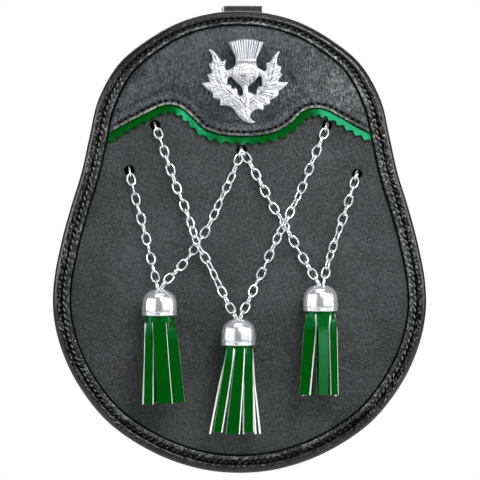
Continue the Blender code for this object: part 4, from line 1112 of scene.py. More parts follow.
badge = {  # in mm
    "middle": 3.2,
    "plate": 1.1,
    "leafRelief": 1.25,
    "leafRound": 1.5,  # how far in from its outline a leaf is rounded
    "flowerRelief": 2.1,
    "flowerRound": 0.9,
    "bulbRelief": 3.4,
    "collarRelief": 2.5,
    "flutes": 13,
    "fluteDepth": 0.42,
    "fluteRows": (14.2, 24.9, 0.42),  # drops of the first and the last row of points, and the step
    "spacing": 0.28,
    "stance": (14.0, 42.0, 1.6),  # from this drop on it stands off further: over this height, this much
    "fan": (50.0, 17.0),  # the drop that the strokes fan out from, and how wide a radian of it is
    "stroke": (0.25, 0.80),  # depth and darkness
    # a vein's ridges, height, how far off and width, its groove, depth and width, and its darkness
    "vein": (0.35, 0.75, 0.55, 0.32, 0.24, 0.80),
    "sideVein": (0.16, 0.60, 0.45, 0.30, 0.22, 0.55),
    # size of each unevenness across and down, and its seed
    "strokes": ((1.1, 5.0), 21.0),
    "pauses": ((1.9, 1.9), 9.0),
    "breaks": ((2.6, 2.6), 15.0),
    "dots": ((0.65, 0.65), 33.0),
    "streaks": ((0.75, 6.0), 8.0),
    "roughness": ((0.62, 0.62), 17.0),
    "speckles": ((0.95, 0.95), 5.0),
    "bulb": (3.2, 30.9, 6.6, 6.4),  # across, drop, half width, half height
    "bulbBand": (32.1, 0.30, 0.22),  # the groove round it: drop, depth and width
    "scaleRows": (1.1, 2.3),  # how steeply the rows of scales cross, and radians to a mm
    "collar": (25.3, 5.9, 1.75),  # drop of its points, half width, and their pitch
    "flower": ((14.6, 8.9), (18.4, 7.6), (21.0, 6.6), (25.0, 5.1)),  # drop and half width
    "outline": (
        (8.3, 25.0), (9.0, 23.1), (9.9, 21.0), (11.0, 18.4), (12.1, 15.8), (9.7, 14.9), (6.7, 14.3),
        (3.2, 14.0), (-0.4, 14.3), (-3.2, 14.9), (-5.5, 15.8), (-4.4, 18.4), (-3.4, 20.7), (-2.4, 22.8),
        (-1.7, 25.0), (-2.1, 26.9), (-3.5, 28.5), (-5.1, 29.4), (-6.5, 29.7), (-7.2, 28.3), (-6.9, 26.0),
        (-6.6, 24.4), (-8.0, 25.1), (-8.8, 25.4), (-9.5, 24.3), (-10.6, 22.8), (-11.8, 21.3),
        (-13.2, 19.9), (-14.7, 19.2), (-15.6, 19.5), (-14.4, 20.9), (-13.7, 22.5), (-13.4, 23.9),
        (-13.5, 25.4), (-14.3, 26.1), (-15.5, 26.5), (-14.9, 27.8), (-14.1, 29.5), (-13.6, 30.9),
        (-14.7, 31.4), (-16.2, 32.1), (-15.5, 33.7), (-14.8, 35.6), (-16.7, 35.8), (-18.9, 36.2),
        (-18.0, 37.5), (-16.5, 39.0), (-14.8, 40.3), (-13.3, 41.4), (-13.2, 42.3), (-13.6, 43.4),
        (-11.8, 44.1), (-9.6, 44.8), (-9.6, 45.9), (-9.8, 47.2), (-8.9, 47.6), (-6.8, 47.5), (-5.1, 47.8),
        (-3.6, 48.6), (-2.4, 50.0), (-1.3, 51.9), (0.2, 53.6), (2.0, 55.1), (4.2, 56.1), (6.1, 56.5),
        (7.4, 56.1), (7.9, 55.4), (6.7, 54.9), (5.5, 54.0), (5.1, 53.1), (5.8, 51.6), (6.8, 50.3),
        (8.1, 49.6), (9.6, 49.3), (10.8, 49.7), (11.8, 50.0), (12.1, 48.7), (12.2, 47.7), (13.4, 47.3),
        (15.0, 46.7), (15.3, 45.6), (15.2, 44.7), (16.9, 44.1), (18.4, 43.4), (19.4, 42.3), (19.7, 41.2),
        (19.6, 40.4), (21.6, 39.0), (23.4, 37.3), (24.5, 35.8), (22.5, 35.7), (20.4, 35.7), (19.4, 35.3),
        (19.9, 34.1), (20.7, 33.0), (21.7, 31.9), (20.7, 31.3), (20.4, 30.5), (20.8, 29.2), (20.9, 27.8),
        (19.6, 27.4), (18.6, 26.6), (18.7, 24.8), (19.1, 23.2), (19.7, 21.7), (20.2, 20.4), (19.3, 20.2),
        (17.9, 21.7), (16.5, 23.3), (15.6, 25.0), (14.9, 25.8), (13.3, 26.2), (13.5, 28.0), (13.3, 29.8),
        (12.2, 30.2), (11.8, 29.9), (10.8, 29.2), (9.3, 28.3), (8.6, 26.6),
    ),
    "leftGap": (
        (-5.7, 33.6), (-4.2, 33.0), (-3.0, 34.4), (-1.5, 36.0), (0.0, 37.2), (1.1, 38.1), (1.7, 39.8),
        (1.7, 41.4), (1.1, 42.4), (0.3, 42.6), (-0.5, 42.1), (-0.9, 40.4), (-1.3, 39.0), (-1.9, 38.3),
        (-2.9, 39.0), (-3.8, 38.8), (-4.1, 37.2), (-5.1, 36.9), (-6.0, 36.6), (-5.8, 35.1),
    ),
    "rightGap": (
        (4.2, 38.3), (5.8, 36.6), (7.5, 35.1), (9.1, 33.4), (9.9, 32.7), (10.9, 33.4), (11.1, 35.7),
        (11.2, 37.7), (9.2, 38.0), (8.6, 39.5), (8.4, 41.4), (7.5, 41.9), (6.1, 41.1), (4.4, 40.4),
    ),
    "veins": (  # each leaf's main vein, from the stem outward
        ((2.5, 47.1), (-1.0, 44.2), (-5.1, 40.7), (-8.3, 36.8), (-10.1, 31.3), (-11.2, 26.3), (-13.6, 21.0)),
        ((4.6, 47.1), (8.4, 43.6), (12.2, 40.1), (14.9, 36.0), (16.3, 31.3), (17.5, 26.3), (19.0, 21.9)),
        ((3.4, 44.0), (2.6, 48.5), (3.0, 51.5), (5.0, 54.8)),
    ),
    "sideVeins": (  # from a main vein to each barb
        ((-9.3, 34.2), (-14.5, 32.8)), ((-10.2, 30.8), (-14.3, 27.6)), ((-11.2, 26.6), (-8.2, 26.6)),
        ((-6.7, 39.2), (-17.2, 36.6)), ((-4.0, 41.8), (-12.2, 42.9)), ((-1.8, 43.6), (-9.0, 46.6)),
        ((-8.6, 36.2), (-4.8, 37.4)), ((15.3, 34.6), (20.2, 32.4)), ((16.6, 30.4), (20.0, 28.8)),
        ((17.5, 26.6), (14.2, 27.2)), ((14.0, 37.8), (22.8, 36.3)), ((11.6, 40.9), (18.6, 42.0)),
        ((9.0, 43.2), (14.6, 45.8)), ((6.8, 45.0), (11.4, 48.8)), ((14.4, 36.8), (11.6, 38.6)),
        ((2.2, 46.6), (-2.6, 48.2)), ((1.6, 49.2), (3.6, 54.6)),
    ),
}


def lineDistance(points, line):
    start, along = line[:-1], np.diff(line, axis=0)
    share = np.clip(((points[:, None] - start) * along).sum(axis=2) / (along**2).sum(axis=1), 0, 1)
    return np.linalg.norm(start + share[..., None] * along - points[:, None], axis=2).min(axis=1)


def thistleRelief(x, drop, edge):
    # height over the badge's back in mm, and how sunk and dark each point is
    flat = np.column_stack([x, drop])
    height = badge["plate"] + badge["leafRelief"] * quarterRound(edge, badge["leafRound"])
    # short strokes that fan out from the stem, as a modeller's tool leaves them
    across = x - badge["middle"]
    fanDrop, fanWidth = badge["fan"]
    above = fanDrop - drop
    fan = np.column_stack([np.arctan2(across, above) * fanWidth, np.hypot(across, above)])
    stroke = hump(waves(fan, *badge["strokes"]), 0.11)
    stroke = stroke * softStep(waves(flat, *badge["pauses"]), -0.15, 0.35) * softStep(edge, 0.3, 0.8)
    depth, tone = badge["stroke"]
    height -= depth * stroke
    dark = tone * stroke
    broken = 0.12 + 0.88 * softStep(waves(flat, *badge["breaks"]), -0.05, 0.25)
    lines = [(smoothLine(vein, perSpan=6), badge["vein"]) for vein in badge["veins"]]
    lines += [(np.array(vein), badge["sideVein"]) for vein in badge["sideVeins"]]
    for line, (ridge, off, width, groove, grooveWidth, tone) in lines:
        away = lineDistance(flat, line)
        height += ridge * hump(away - off, width) - groove * hump(away, grooveWidth)
        dark = np.maximum(dark, tone * broken * hump(away, 0.28))
    dots = softStep(waves(flat, *badge["dots"]), 0.25, 0.5)
    dark = np.maximum(dark, 0.55 * dots * softStep(edge, 0.3, 0.9))
    # the flower's flutes
    rows = np.array(badge["flower"])
    half = np.interp(drop, rows[:, 0], rows[:, 1])
    inFlower = (drop < 25.4) & (np.abs(across) < half + 0.6)
    u = np.clip(across / half, -1, 1)  # from one side of the flower to the other
    flute = np.abs(np.cos(math.pi * badge["flutes"] * (u + 1) / 2))
    crown = np.sqrt(1 - 0.75 * u**2) * quarterRound(edge, badge["flowerRound"])
    crown = badge["plate"] + badge["flowerRelief"] * crown
    height = np.where(inFlower, crown - badge["fluteDepth"] * (1 - flute) ** 2, height)
    streak = 0.72 + 0.45 * waves(np.column_stack([across, drop]), *badge["streaks"])
    grooves = 1.15 * streak * (1 - flute) ** 0.7 * softStep(drop, 13.8, 14.6)
    grooves = grooves * (1 - 0.9 * softStep(u, 0.78, 0.84)) + 0.9 * hump(u - 0.76, 0.03)
    dark = np.where(inFlower, grooves, dark)
    # the bulb, scaled over its band and speckled under it
    bx, bd, rx, rd = badge["bulb"]
    share = np.hypot((x - bx) / rx, (drop - bd) / rd)
    dome = badge["plate"] + badge["bulbRelief"] * np.sqrt(np.clip(1 - share**2, 0, 1))
    steep, rate = badge["scaleRows"]
    rise = steep * (drop - bd)
    scales = np.cos((across + rise) * rate) * np.cos((across - rise) * rate)
    scales = 0.45 * scales + 1.5 * waves(flat, *badge["roughness"])
    bandDrop, bandDepth, bandWidth = badge["bulbBand"]
    belowBand = drop - bandDrop
    upper = softStep(-belowBand, -0.3, 0.3)
    speckle = softStep(waves(flat, *badge["speckles"]), 0.05, 0.4)
    dome += 0.30 * scales * upper - 0.15 * speckle * (1 - upper) - bandDepth * hump(belowBand, bandWidth)
    sunk = 0.9 * softStep(-scales, 0.30, 0.8) * upper + (0.12 + 0.75 * speckle) * (1 - upper)
    sunk = np.maximum(sunk, 0.40 * hump(belowBand, 0.2))
    sunk = np.maximum(sunk, 0.75 * hump(np.hypot(across / 0.9, (belowBand - 0.2) / 0.6), 1.0))
    inBulb = (share < 1) & (dome > height)
    height = np.where(inBulb, dome, height)
    dark = np.where(inBulb, sunk, dark)
    dark = np.maximum(dark, 0.45 * hump(share - 1.02, 0.06) * (drop > 26.5))
    # the collar's row of pointed scales
    collarDrop, collarHalf, pitch = badge["collar"]
    point = 1.7 * np.abs((across / pitch + 0.25) % 1.0 - 0.5)
    zigzag = drop - (collarDrop + point * 1.3)
    collar = (np.abs(across) < collarHalf) & (drop > 24.5) & (zigzag < 0.6)
    ring = badge["collarRelief"] * np.sqrt(np.clip(1 - (across / 6.4) ** 2, 0, 1))
    ring = ring - 0.35 * hump(zigzag, 0.3)
    height = np.where(collar, np.maximum(badge["plate"] + ring, height * 0.9), height)
    dark = np.where(collar, np.maximum(0.85 * hump(zigzag, 0.33), 0.3 * (drop > 24.9)), dark)
    return height, dark


def badgeBack(z):
    drop, height, further = badge["stance"]
    share = (heightAt(drop) - z) / (height * mm)
    face = pouch["frontY"] - pouch["leather"] / 2 - cantle["leather"] - 2.1 * pouch["gap"]
    return face - share * further * mm


def makeBadge():
    loops = []
    for key in ("outline", "leftGap", "rightGap"):
        loop = np.array(flatPlaces(badge[key]))
        dense = []
        for a, b in zip(loop, np.roll(loop, -1, axis=0)):
            steps = max(1, round(np.linalg.norm(b - a) / (0.5 * mm)))
            dense += [a + (b - a) * s / steps for s in range(steps)]
        loops.append(np.array(dense))

    def depths(flat, edge):
        x, z = flat.T
        drop = dropAt(z)
        height, _ = thistleRelief(x / mm, drop, edge / mm)
        return badgeBack(z) - height * mm, badgeBack(z)

    # rows of points on the flower's flutes
    flower = np.array(badge["flower"])
    filling = []
    for drop in np.arange(*badge["fluteRows"]):
        half = np.interp(drop, flower[:, 0], flower[:, 1])
        shares = np.linspace(-1, 1, 4 * badge["flutes"] + 1)
        filling += flatPlaces((badge["middle"] + share * half, drop) for share in shares)
    region = [[badge["middle"] + half, drop] for drop, half in flower]
    region += [[badge["middle"] - half, drop] for drop, half in flower[::-1]]
    region[0][1] = region[-1][1] = 13.5  # its top lies just over the badge's edge
    own = (np.array(flatPlaces(region)), np.array(filling))
    mesh = sheetMesh("thistleBadge", loops, badge["spacing"] * mm, depths, (0.18,), sharp=70, ownFill=own)
    places = pointsOf(mesh)
    edges = loopDistance(places[:, [0, 2]], loops)
    _, dark = thistleRelief(places[:, 0] / mm, dropAt(places[:, 2]), edges / mm)
    paint(mesh, "patina", dark)
    addPiece("thistleBadge", mesh, finish["castSilver"], "cast_silver", "thistle_badge")


makeFront()
makeBinding()
makeGusset()
print("pouch front, binding and gusset made")
makeCantle()
makeTrim()
makeBadge()
print("cantle, trim and thistle made")

chains = {
    "linkLength": 6.8 * mm,
    "linkWidth": 4.8 * mm,
    "wire": 0.90 * mm,
    "pitch": 4.75 * mm,
    # degrees: each link's turn and the next one's, how uneven they are, and how far the chain twists
    "firstTurn": 76.0,
    "secondTurn": -12.0,
    "loose": 7.0,
    "drift": 200.0,
    "driftScale": 0.13,  # how quickly the twist changes from link to link
    # routes over the leather: across and drop, and off the leather, in mm
    "leftOuter": (
        (-54.9, 80.5, -0.7), (-54.1, 84.0, 2.4), (-52.3, 91.8, 2.4), (-50.0, 100.5, 2.6),
        (-46.8, 112.8, 2.6), (-44.3, 123.3, 3.0), (-42.2, 131.5, 6.4), (-41.0, 137.2, 9.2),
    ),
    "leftInner": (
        (-38.2, 137.4, 9.2), (-35.0, 133.4, 7.6), (-30.3, 128.9, 4.6), (-22.5, 119.0, 2.6),
        (-15.6, 107.8, 2.6), (-9.5, 94.8, 2.6), (-3.4, 81.8, 2.6), (-0.6, 74.4, 2.4), (0.6, 70.6, -0.7),
    ),
    "rightInner": (
        (1.4, 70.4, -0.7), (3.7, 73.6, 2.4), (7.5, 80.5, 2.6), (12.1, 89.0, 2.6), (16.2, 97.0, 2.6),
        (20.9, 104.0, 2.6), (25.5, 112.5, 2.6), (30.9, 122.0, 3.4), (35.6, 129.9, 6.6), (38.8, 135.2, 9.2),
    ),
    "rightOuter": (
        (42.0, 135.2, 9.2), (43.2, 129.4, 6.8), (45.6, 121.0, 3.2), (48.5, 113.0, 2.6), (51.2, 105.0, 2.6),
        (54.3, 95.5, 2.6), (57.3, 86.0, 2.4), (58.5, 82.3, -0.7),
    ),
    "centreLeft": (
        (-41.9, 58.0, -0.7), (-40.4, 61.4, 2.4), (-38.4, 67.5, 2.5), (-35.2, 77.0, 2.6),
        (-30.9, 89.5, 2.6), (-27.5, 97.5, 2.8), (-24.0, 107.0, 5.6), (-21.2, 116.0, 7.1),
        (-15.2, 126.7, 4.9), (-11.0, 135.5, 3.4), (-6.5, 144.6, 5.6), (-2.3, 152.2, 9.2),
    ),
    "centreRight": (
        (0.9, 152.2, 9.2), (4.9, 143.9, 5.6), (8.3, 136.3, 3.0), (11.4, 130.0, 2.6), (15.5, 120.8, 3.2),
        (19.2, 112.8, 5.8), (22.9, 105.3, 7.1), (27.0, 97.2, 5.2), (30.8, 89.3, 2.6), (37.0, 73.8, 2.6),
        (42.2, 61.4, 2.4), (43.6, 57.9, -0.7),
    ),
}


def routeLine(name):
    points = []
    for across, drop, lift in chains[name]:
        x, z = across * mm, float(heightAt(drop))
        points.append((x, float(frontFace(x, z)) - lift * mm, z))
    return smoothLine(points)


linkRow = chainTree()
linkInputs = {
    "Link length": "linkLength", "Link width": "linkWidth", "Wire": "wire", "First turn": "firstTurn",
    "Second turn": "secondTurn", "Loose": "loose", "Drift": "drift", "Drift scale": "driftScale",
}


def makeChain(name, routes, node):
    meshes = []
    for seed, route in enumerate(routes):
        line = routeLine(route)
        count = 2 * round(lineLength(line) / chains["pitch"] / 2) + 1
        values = {label: chains[key] for label, key in linkInputs.items()}
        values.update({"Links": count, "Seed": seed, "Finish": finish["polishedChrome"]})
        meshes.append(grow(route, linkRow, evenly(line, 160), values))
    addPiece(name, joined(name, meshes), None, "polished_chrome", node)


makeChain("outerChainLinks", ("leftOuter", "leftInner", "rightInner", "rightOuter"), "outer_chain")
makeChain("centreChainLinks", ("centreLeft", "centreRight"), "centre_chain")
print("chains threaded")

tassel = {
    "capRadius": 8.6 * mm,
    "capHeight": 13.2 * mm,
    "standOff": 0.6 * mm,
    "outside": (  # the cap's wall: out from its axis, and below its top, in mm
        (2.1, 0.5), (2.4, 0.1), (3.0, 0.15), (4.3, 0.65), (5.7, 1.45), (6.8, 2.4), (7.6, 3.5), (8.2, 4.9),
        (8.5, 6.6), (8.65, 8.6), (8.7, 10.7), (8.6, 11.5), (8.45, 11.75), (8.7, 12.1), (8.8, 12.55),
        (8.6, 13.0), (8.2, 13.2),
    ),
    "inside": ((7.2, 13.2), (7.3, 8.4), (6.2, 5.3), (4.3, 3.3), (2.1, 2.2)),
    "headRadius": 7.1 * mm,
    "headTop": ((0.6, 6.2), (0.95, 8.5), (0.93, 12.0)),  # share of its radius, and mm below the cap's top
    "strip": 1.0 * mm,
    "bevel": 0.12,  # of a strip's corners, in mm
    "uneven": 0.5 * mm,  # how much the strips' feet differ
    "places": (  # name, across, cap's drop, strips' foot drop, and how much of the head shows
        ("left", -39.8, 139.0, 195.6, 3.9),
        ("centre", -0.5, 153.8, 210.5, 1.6),
        ("right", 40.3, 136.8, 191.6, 2.0),
    ),
    # each strip, in mm: where it starts and ends across, its foot forward of the axis, its widths at the
    # head and the foot, its foot's turn in degrees, and how much of its left and right cuts shows
    "left": (
        (-4.95, -5.4, 5.6, 4.6, 5.2, 3, 0.30, 0.45), (0.5, 3.2, 7.4, 6.2, 6.9, -2, -0.6, 0.20),
        (6.3, 9.9, 4.6, 5.0, 5.7, 5, -0.7, 0.1), (-6.9, -9.2, -1.0, 4.0, 4.2, -76, 0.1, 0.1),
        (-6.2, -8.3, -3.6, 4.0, 4.0, -110, 0.1, 0.1),
        (-3.8, -2.2, -5.2, 4.2, 4.2, -150, 0.1, 0.1), (0.5, 0.6, -6.0, 4.4, 4.4, 182, 0.1, 0.1),
        (4.6, 4.2, -5.6, 4.4, 4.4, 150, 0.1, 0.1), (7.0, 8.6, -2.5, 4.0, 4.0, 100, 0.1, 0.1),
    ),
    "centre": (
        (-6.6, -14.7, 1.0, 4.2, 4.2, -88, 0.1, 0.1), (-3.9, -10.35, 5.4, 4.4, 4.7, -2, 0.1, 0.60),
        (0.8, -2.8, 7.4, 5.0, 6.9, 0, 0.1, 0.50), (3.0, 1.9, 2.8, 3.4, 3.6, -84, 0.1, 0.1),
        (5.4, 5.4, 5.6, 3.8, 4.4, 4, -0.5, 0.30), (6.2, 9.2, 1.8, 3.6, 3.6, 84, 0.1, 0.1),
        (6.3, 11.3, -0.4, 3.8, 3.8, 88, 0.1, 0.1), (4.4, 6.8, -5.0, 4.0, 4.2, 140, 0.1, 0.1),
        (1.2, 2.0, -6.0, 4.2, 4.4, 172, 0.1, 0.1), (-2.4, -3.6, -5.8, 4.2, 4.4, 196, 0.1, 0.1),
        (-5.4, -9.4, -3.6, 4.2, 4.4, -130, 0.1, 0.1),
    ),
    "right": (
        (-4.8, -7.9, 5.2, 6.6, 5.6, -6, 0.1, 0.60), (-6.9, -9.5, -1.4, 4.0, 4.0, -84, 0.1, 0.1),
        (1.5, 1.6, 7.4, 6.0, 5.6, 39, -0.8, 0.1),
        (6.1, 6.9, 5.0, 4.2, 3.9, 3, 0.35, 0.25), (7.0, 8.2, -1.0, 4.0, 4.0, 86, 0.1, 0.1),
        (4.2, 5.0, -5.4, 4.4, 4.4, 150, 0.1, 0.1), (0.0, 0.4, -6.2, 4.4, 4.4, 182, 0.1, 0.1),
        (-4.8, -6.0, -4.8, 4.4, 4.4, -145, 0.1, 0.1),
    ),
}


def turnedMesh(name, profile, axis, steps=64, sharp=55):
    # a profile of radius and height turned round a vertical line
    turn = np.arange(steps) * 2 * math.pi / steps
    points = [(axis[0] + r * math.cos(a), axis[1] + r * math.sin(a), axis[2] + h)
              for r, h in profile for a in turn]
    return meshOf(name, points, gridFaces(len(profile), steps, roundRows=True, roundColumns=True), sharp)


def capPlace(across, drop):
    x, z = across * mm, float(heightAt(drop))
    reach = tassel["capRadius"] + tassel["standOff"]
    return np.array([x, float(frontFace(x, z - tassel["capHeight"])) - reach, z])


def stripPoints(row, axis, startZ, footZ):
    # rings of eight points down one strip, from its inner left corner round its outer face
    top, foot, forward, topWidth, footWidth, footTurn, leftCut, rightCut = row
    radius, thick, bevel = tassel["headRadius"] / mm, tassel["strip"] / mm, tassel["bevel"]
    front = forward > 0
    lean = math.degrees(math.asin(max(-0.999, min(0.999, top / radius))))
    topTurn = lean if front else (180 - lean if lean >= 0 or footTurn > 0 else -180 - lean)
    if not front and footTurn < 0 < topTurn:
        topTurn -= 360
    onEdge = 60 < abs(footTurn) < 120  # such a strip starts deeper in the head
    topForward = math.sqrt(max(radius**2 - top**2, 0.01)) * (1 if front else -1) * (0.6 if onEdge else 1.0)
    rings = []
    for share in np.linspace(0, 1, 21):
        half = (topWidth + (footWidth - topWidth) * share) / 2
        outer, inner = -half + leftCut, half - rightCut
        outline = [(-half, thick * 0.8), (outer, bevel / 2), (outer + bevel, 0), (inner - bevel, 0),
                   (inner, bevel / 2), (half, thick * 0.8), (half - bevel, thick), (-half + bevel, thick)]
        turned = float(softStep(share, 0.0, 0.45 if onEdge else 0.22))
        turn = math.radians(topTurn + (footTurn - topTurn) * turned)
        side = np.array([math.cos(turn), math.sin(turn)])
        out = np.array([math.sin(turn), -math.cos(turn)])
        ahead = topForward + (forward - topForward) * share
        middle = np.array([top + (foot - top) * share ** 1.15, -ahead])
        middle = middle + out * math.sin(math.pi * share) * 0.35
        z = startZ + (footZ - startZ) * share
        places = [middle + side * across - out * depth for across, depth in outline]
        rings.append([(axis[0] + x * mm, axis[1] + y * mm, z) for x, y in places])
    return rings


def makeTassel(name, across, capDrop, footDrop, headShown):
    axis = capPlace(across, capDrop)
    profile = evenly(smoothLine(tassel["outside"], perSpan=8), 46).tolist() + list(tassel["inside"])
    cap = turnedMesh(f"{name}Cap", [(r * mm, -d * mm) for r, d in profile], axis)
    addPiece(f"{name}Cap", cap, finish["polishedChrome"], "polished_chrome", f"{name}_tassel_cap")
    headFoot = axis[2] - tassel["capHeight"] - headShown * mm
    r, low = tassel["headRadius"], headFoot - axis[2]
    hub = 0.001 * mm
    head = [(r * share, -d * mm) for share, d in tassel["headTop"]]
    head = [(hub, head[0][1])] + head + [(r, low + 2 * mm), (r, low), (r - tassel["strip"], low), (hub, low)]
    meshes = [turnedMesh(f"{name}Head", head, axis, steps=48)]
    footZ = float(heightAt(footDrop))
    for number, row in enumerate(tassel[name]):
        uneven = tassel["uneven"] * math.sin(2.1 * number + across)
        rings = stripPoints(row, axis, headFoot + 0.6 * mm, footZ + uneven)
        count = len(rings[0])
        points = [p for ring in rings for p in ring]
        faces = gridFaces(len(rings), count, roundColumns=True)
        faces += [tuple(range(count))[::-1], tuple(range(len(points) - count, len(points)))]
        mesh = meshOf(f"{name}Strip", points, faces, sharp=20)
        for face in mesh.polygons:
            columns = sorted({v % count for v in face.vertices})
            atFoot = len(face.vertices) > 4 and face.center.z < footZ + 2 * mm
            if columns in ([0, 1], [4, 5], [5, 6], [0, 7]) or atFoot:
                face.material_index = 1
        meshes.append(mesh)
    whole = joined(f"{name}Tassel", meshes)
    whole.materials.append(finish["green"])
    whole.materials.append(finish["paleCut"])
    addPiece(f"{name}Tassel", whole, None, "green_leather", f"{name}_tassel")


for place in tassel["places"]:
    makeTassel(*place)
print("tassels cut")

backwards = (0.0, 1.0, 0.0)

backLeather = {
    "spacing": 2.2 * mm,
    "rimPoints": 300,
    "waver": 0.12 * mm,
    "bumps": ((26 * mm, 30 * mm), 8.0),
    "rounding": 0.6 * mm,
    "mouth": (108.0, 13.0, 50.0),  # the mouth's width, height and drop, in mm
    "groove": (0.22 * mm, 0.6 * mm),  # depth and width
    "stitchInset": 3.0 * mm,
    "stitchPitch": 4.0 * mm,
    "stitch": (2.9, 0.7, 0.6, 0.0, 4.0),
}


def makeBack():
    width, height, drop = (value * mm for value in backLeather["mouth"])
    turns = np.linspace(-math.pi / 2, math.pi / 2, 13)
    half = (width - height) / 2
    right = [(half + height / 2 * math.cos(a), height / 2 * math.sin(a)) for a in turns]
    slot = [(x, pouch["topZ"] - drop + dz) for x, dz in right + [(-x, -dz) for x, dz in right]]
    loops = [insetRim(pouch["backInset"], backLeather["rimPoints"]), np.array(slot)]
    groove, grooveWidth = backLeather["groove"]

    def depths(flat, edge):
        x, z = flat.T
        face = backFace(x, z) + backLeather["waver"] * waves(flat, *backLeather["bumps"])
        face = face - groove * hump(loopDistance(flat, loops[:1]) - backLeather["stitchInset"], grooveWidth)
        return face - rounded(edge, backLeather["rounding"]), backFace(x, z) - pouch["leather"]

    mesh = sheetMesh("backLeather", loops, backLeather["spacing"], depths)
    addPiece("backLeather", mesh, finish["panel"], "black_leather", "back_panel")
    line = insetRim(pouch["backInset"] + backLeather["stitchInset"], 400)
    row = atDepth(line, backFace(*line.T) - 0.15 * mm)
    count = round(lineLength(row, closed=True) / backLeather["stitchPitch"])
    sewn = sewRow("backStitches", row, count, backLeather["stitch"], "blackThread", True, backwards)
    addPiece("backStitches", sewn, None, "black_leather")


beltLoop = {
    "x": 1.2 * mm,
    "width": 20.4 * mm,
    "leather": 1.8 * mm,
    "proud": 4.1 * mm,
    "opening": 8.0 * mm,
    "height": 35.2 * mm,
    "bend": 3.4 * mm,
    "skive": 1.1 * mm,  # its left edge is pared down this far
    "ease": 0.45 * mm,
    "stitchInset": 2.2 * mm,
    "groove": (0.12 * mm, 0.5 * mm),  # depth and half width
    "rowSpan": (-11 * mm, 12 * mm),
    "stitches": 7,
    "stitch": (2.7, 0.6, 0.5, 0.0, 4.0),
}


def makeLoop():
    top = pouch["topZ"] + beltLoop["proud"]
    middleZ = top - beltLoop["height"] / 2
    halfY = (beltLoop["opening"] + beltLoop["leather"]) / 2
    halfZ = (beltLoop["height"] - beltLoop["leather"]) / 2
    bend = beltLoop["bend"]
    ring = []
    for turn, (sy, sz) in enumerate(((1, 1), (-1, 1), (-1, -1), (1, -1))):
        for a in np.linspace(0, math.pi / 2, 9) + turn * math.pi / 2:
            ring.append((sy * (halfY - bend) + bend * math.cos(a), sz * (halfZ - bend) + bend * math.sin(a)))
    ring = evenly(np.array(ring), 90, closed=True)
    out = sideways(ring, closed=True)
    half, thick, ease = beltLoop["width"] / 2, beltLoop["leather"] / 2, beltLoop["ease"]
    skive, inset = beltLoop["skive"], beltLoop["stitchInset"]
    groove, grooveWidth = beltLoop["groove"]
    section = [(-half, thick - skive), (-half + 0.5 * skive, thick - 0.45 * skive), (-half + skive, thick)]
    for x in np.linspace(-half + 1.2 * mm, half - 1.2 * mm, 18):
        section.append((x, thick - groove * (abs(abs(x) - half + inset) < grooveWidth)))
    section += [(half - ease, thick), (half - ease * 0.3, thick - ease * 0.3), (half, thick - ease)]
    section += [(-x, -y) for x, y in section]
    lean = math.atan(pouch["backLean"])
    points = []
    for (y, z), (ny, nz) in zip(ring, out):
        for x, off in section:
            py, pz = y + ny * off, z + nz * off
            points.append((beltLoop["x"] + x, py - lean * pz, middleZ + pz))
    mesh = meshOf("beltLoop", points, gridFaces(len(ring), len(section), roundRows=True, roundColumns=True))
    cut = [(x < -half + skive * 1.05) and off > 0 for x, off in section] * len(ring)
    paint(mesh, "worn", np.array(cut, float))
    addPiece("beltLoop", mesh, finish["loop"], "black_leather", "belt_loop")
    meshes = []
    for side in (-1, 1):
        z = np.linspace(*beltLoop["rowSpan"], 30)
        x = np.full(30, beltLoop["x"] + side * (half - inset))
        row = np.column_stack([x, halfY + thick - lean * z - 0.1 * mm, middleZ + z])
        meshes.append(sewRow("loopRow", row, beltLoop["stitches"], beltLoop["stitch"], "blackThread",
                             facing=backwards))
    addPiece("beltLoopStitches", joined("beltLoopStitches", meshes), None, "black_leather")


flap = {
    "leather": 1.6 * mm,
    "spacing": 1.8 * mm,
    "waver": 0.1 * mm,
    "bumps": ((18 * mm, 14 * mm), 3.0),
    "rounding": 0.55 * mm,
    "groove": (0.2 * mm, 0.6 * mm),  # depth and width
    "stitchInset": 3.2 * mm,
    "stitchPitch": 3.8 * mm,
    "stitch": (2.8, 0.65, 0.55, 0.0, 4.0),
    "rows": (  # drop, half width and stand off, in mm
        (34.0, 60.0, 0.0), (40.0, 61.5, 1.6), (50.0, 61.0, 2.6), (62.0, 56.0, 1.6),
        (74.0, 47.0, 0.2), (86.0, 34.0, 0.0), (93.0, 20.0, 0.0), (95.5, 8.0, 0.0),
    ),
}

stud = {
    "drop": 84.0 * mm,
    "standOff": 0.2 * mm,
    "profile": (  # radius and height, in mm
        (0.001, 2.6), (1.2, 2.58), (2.6, 2.3), (3.8, 1.85), (4.8, 1.3), (5.6, 0.8), (6.0, 0.35), (6.0, 0.0),
        (0.001, 0.0),
    ),
}


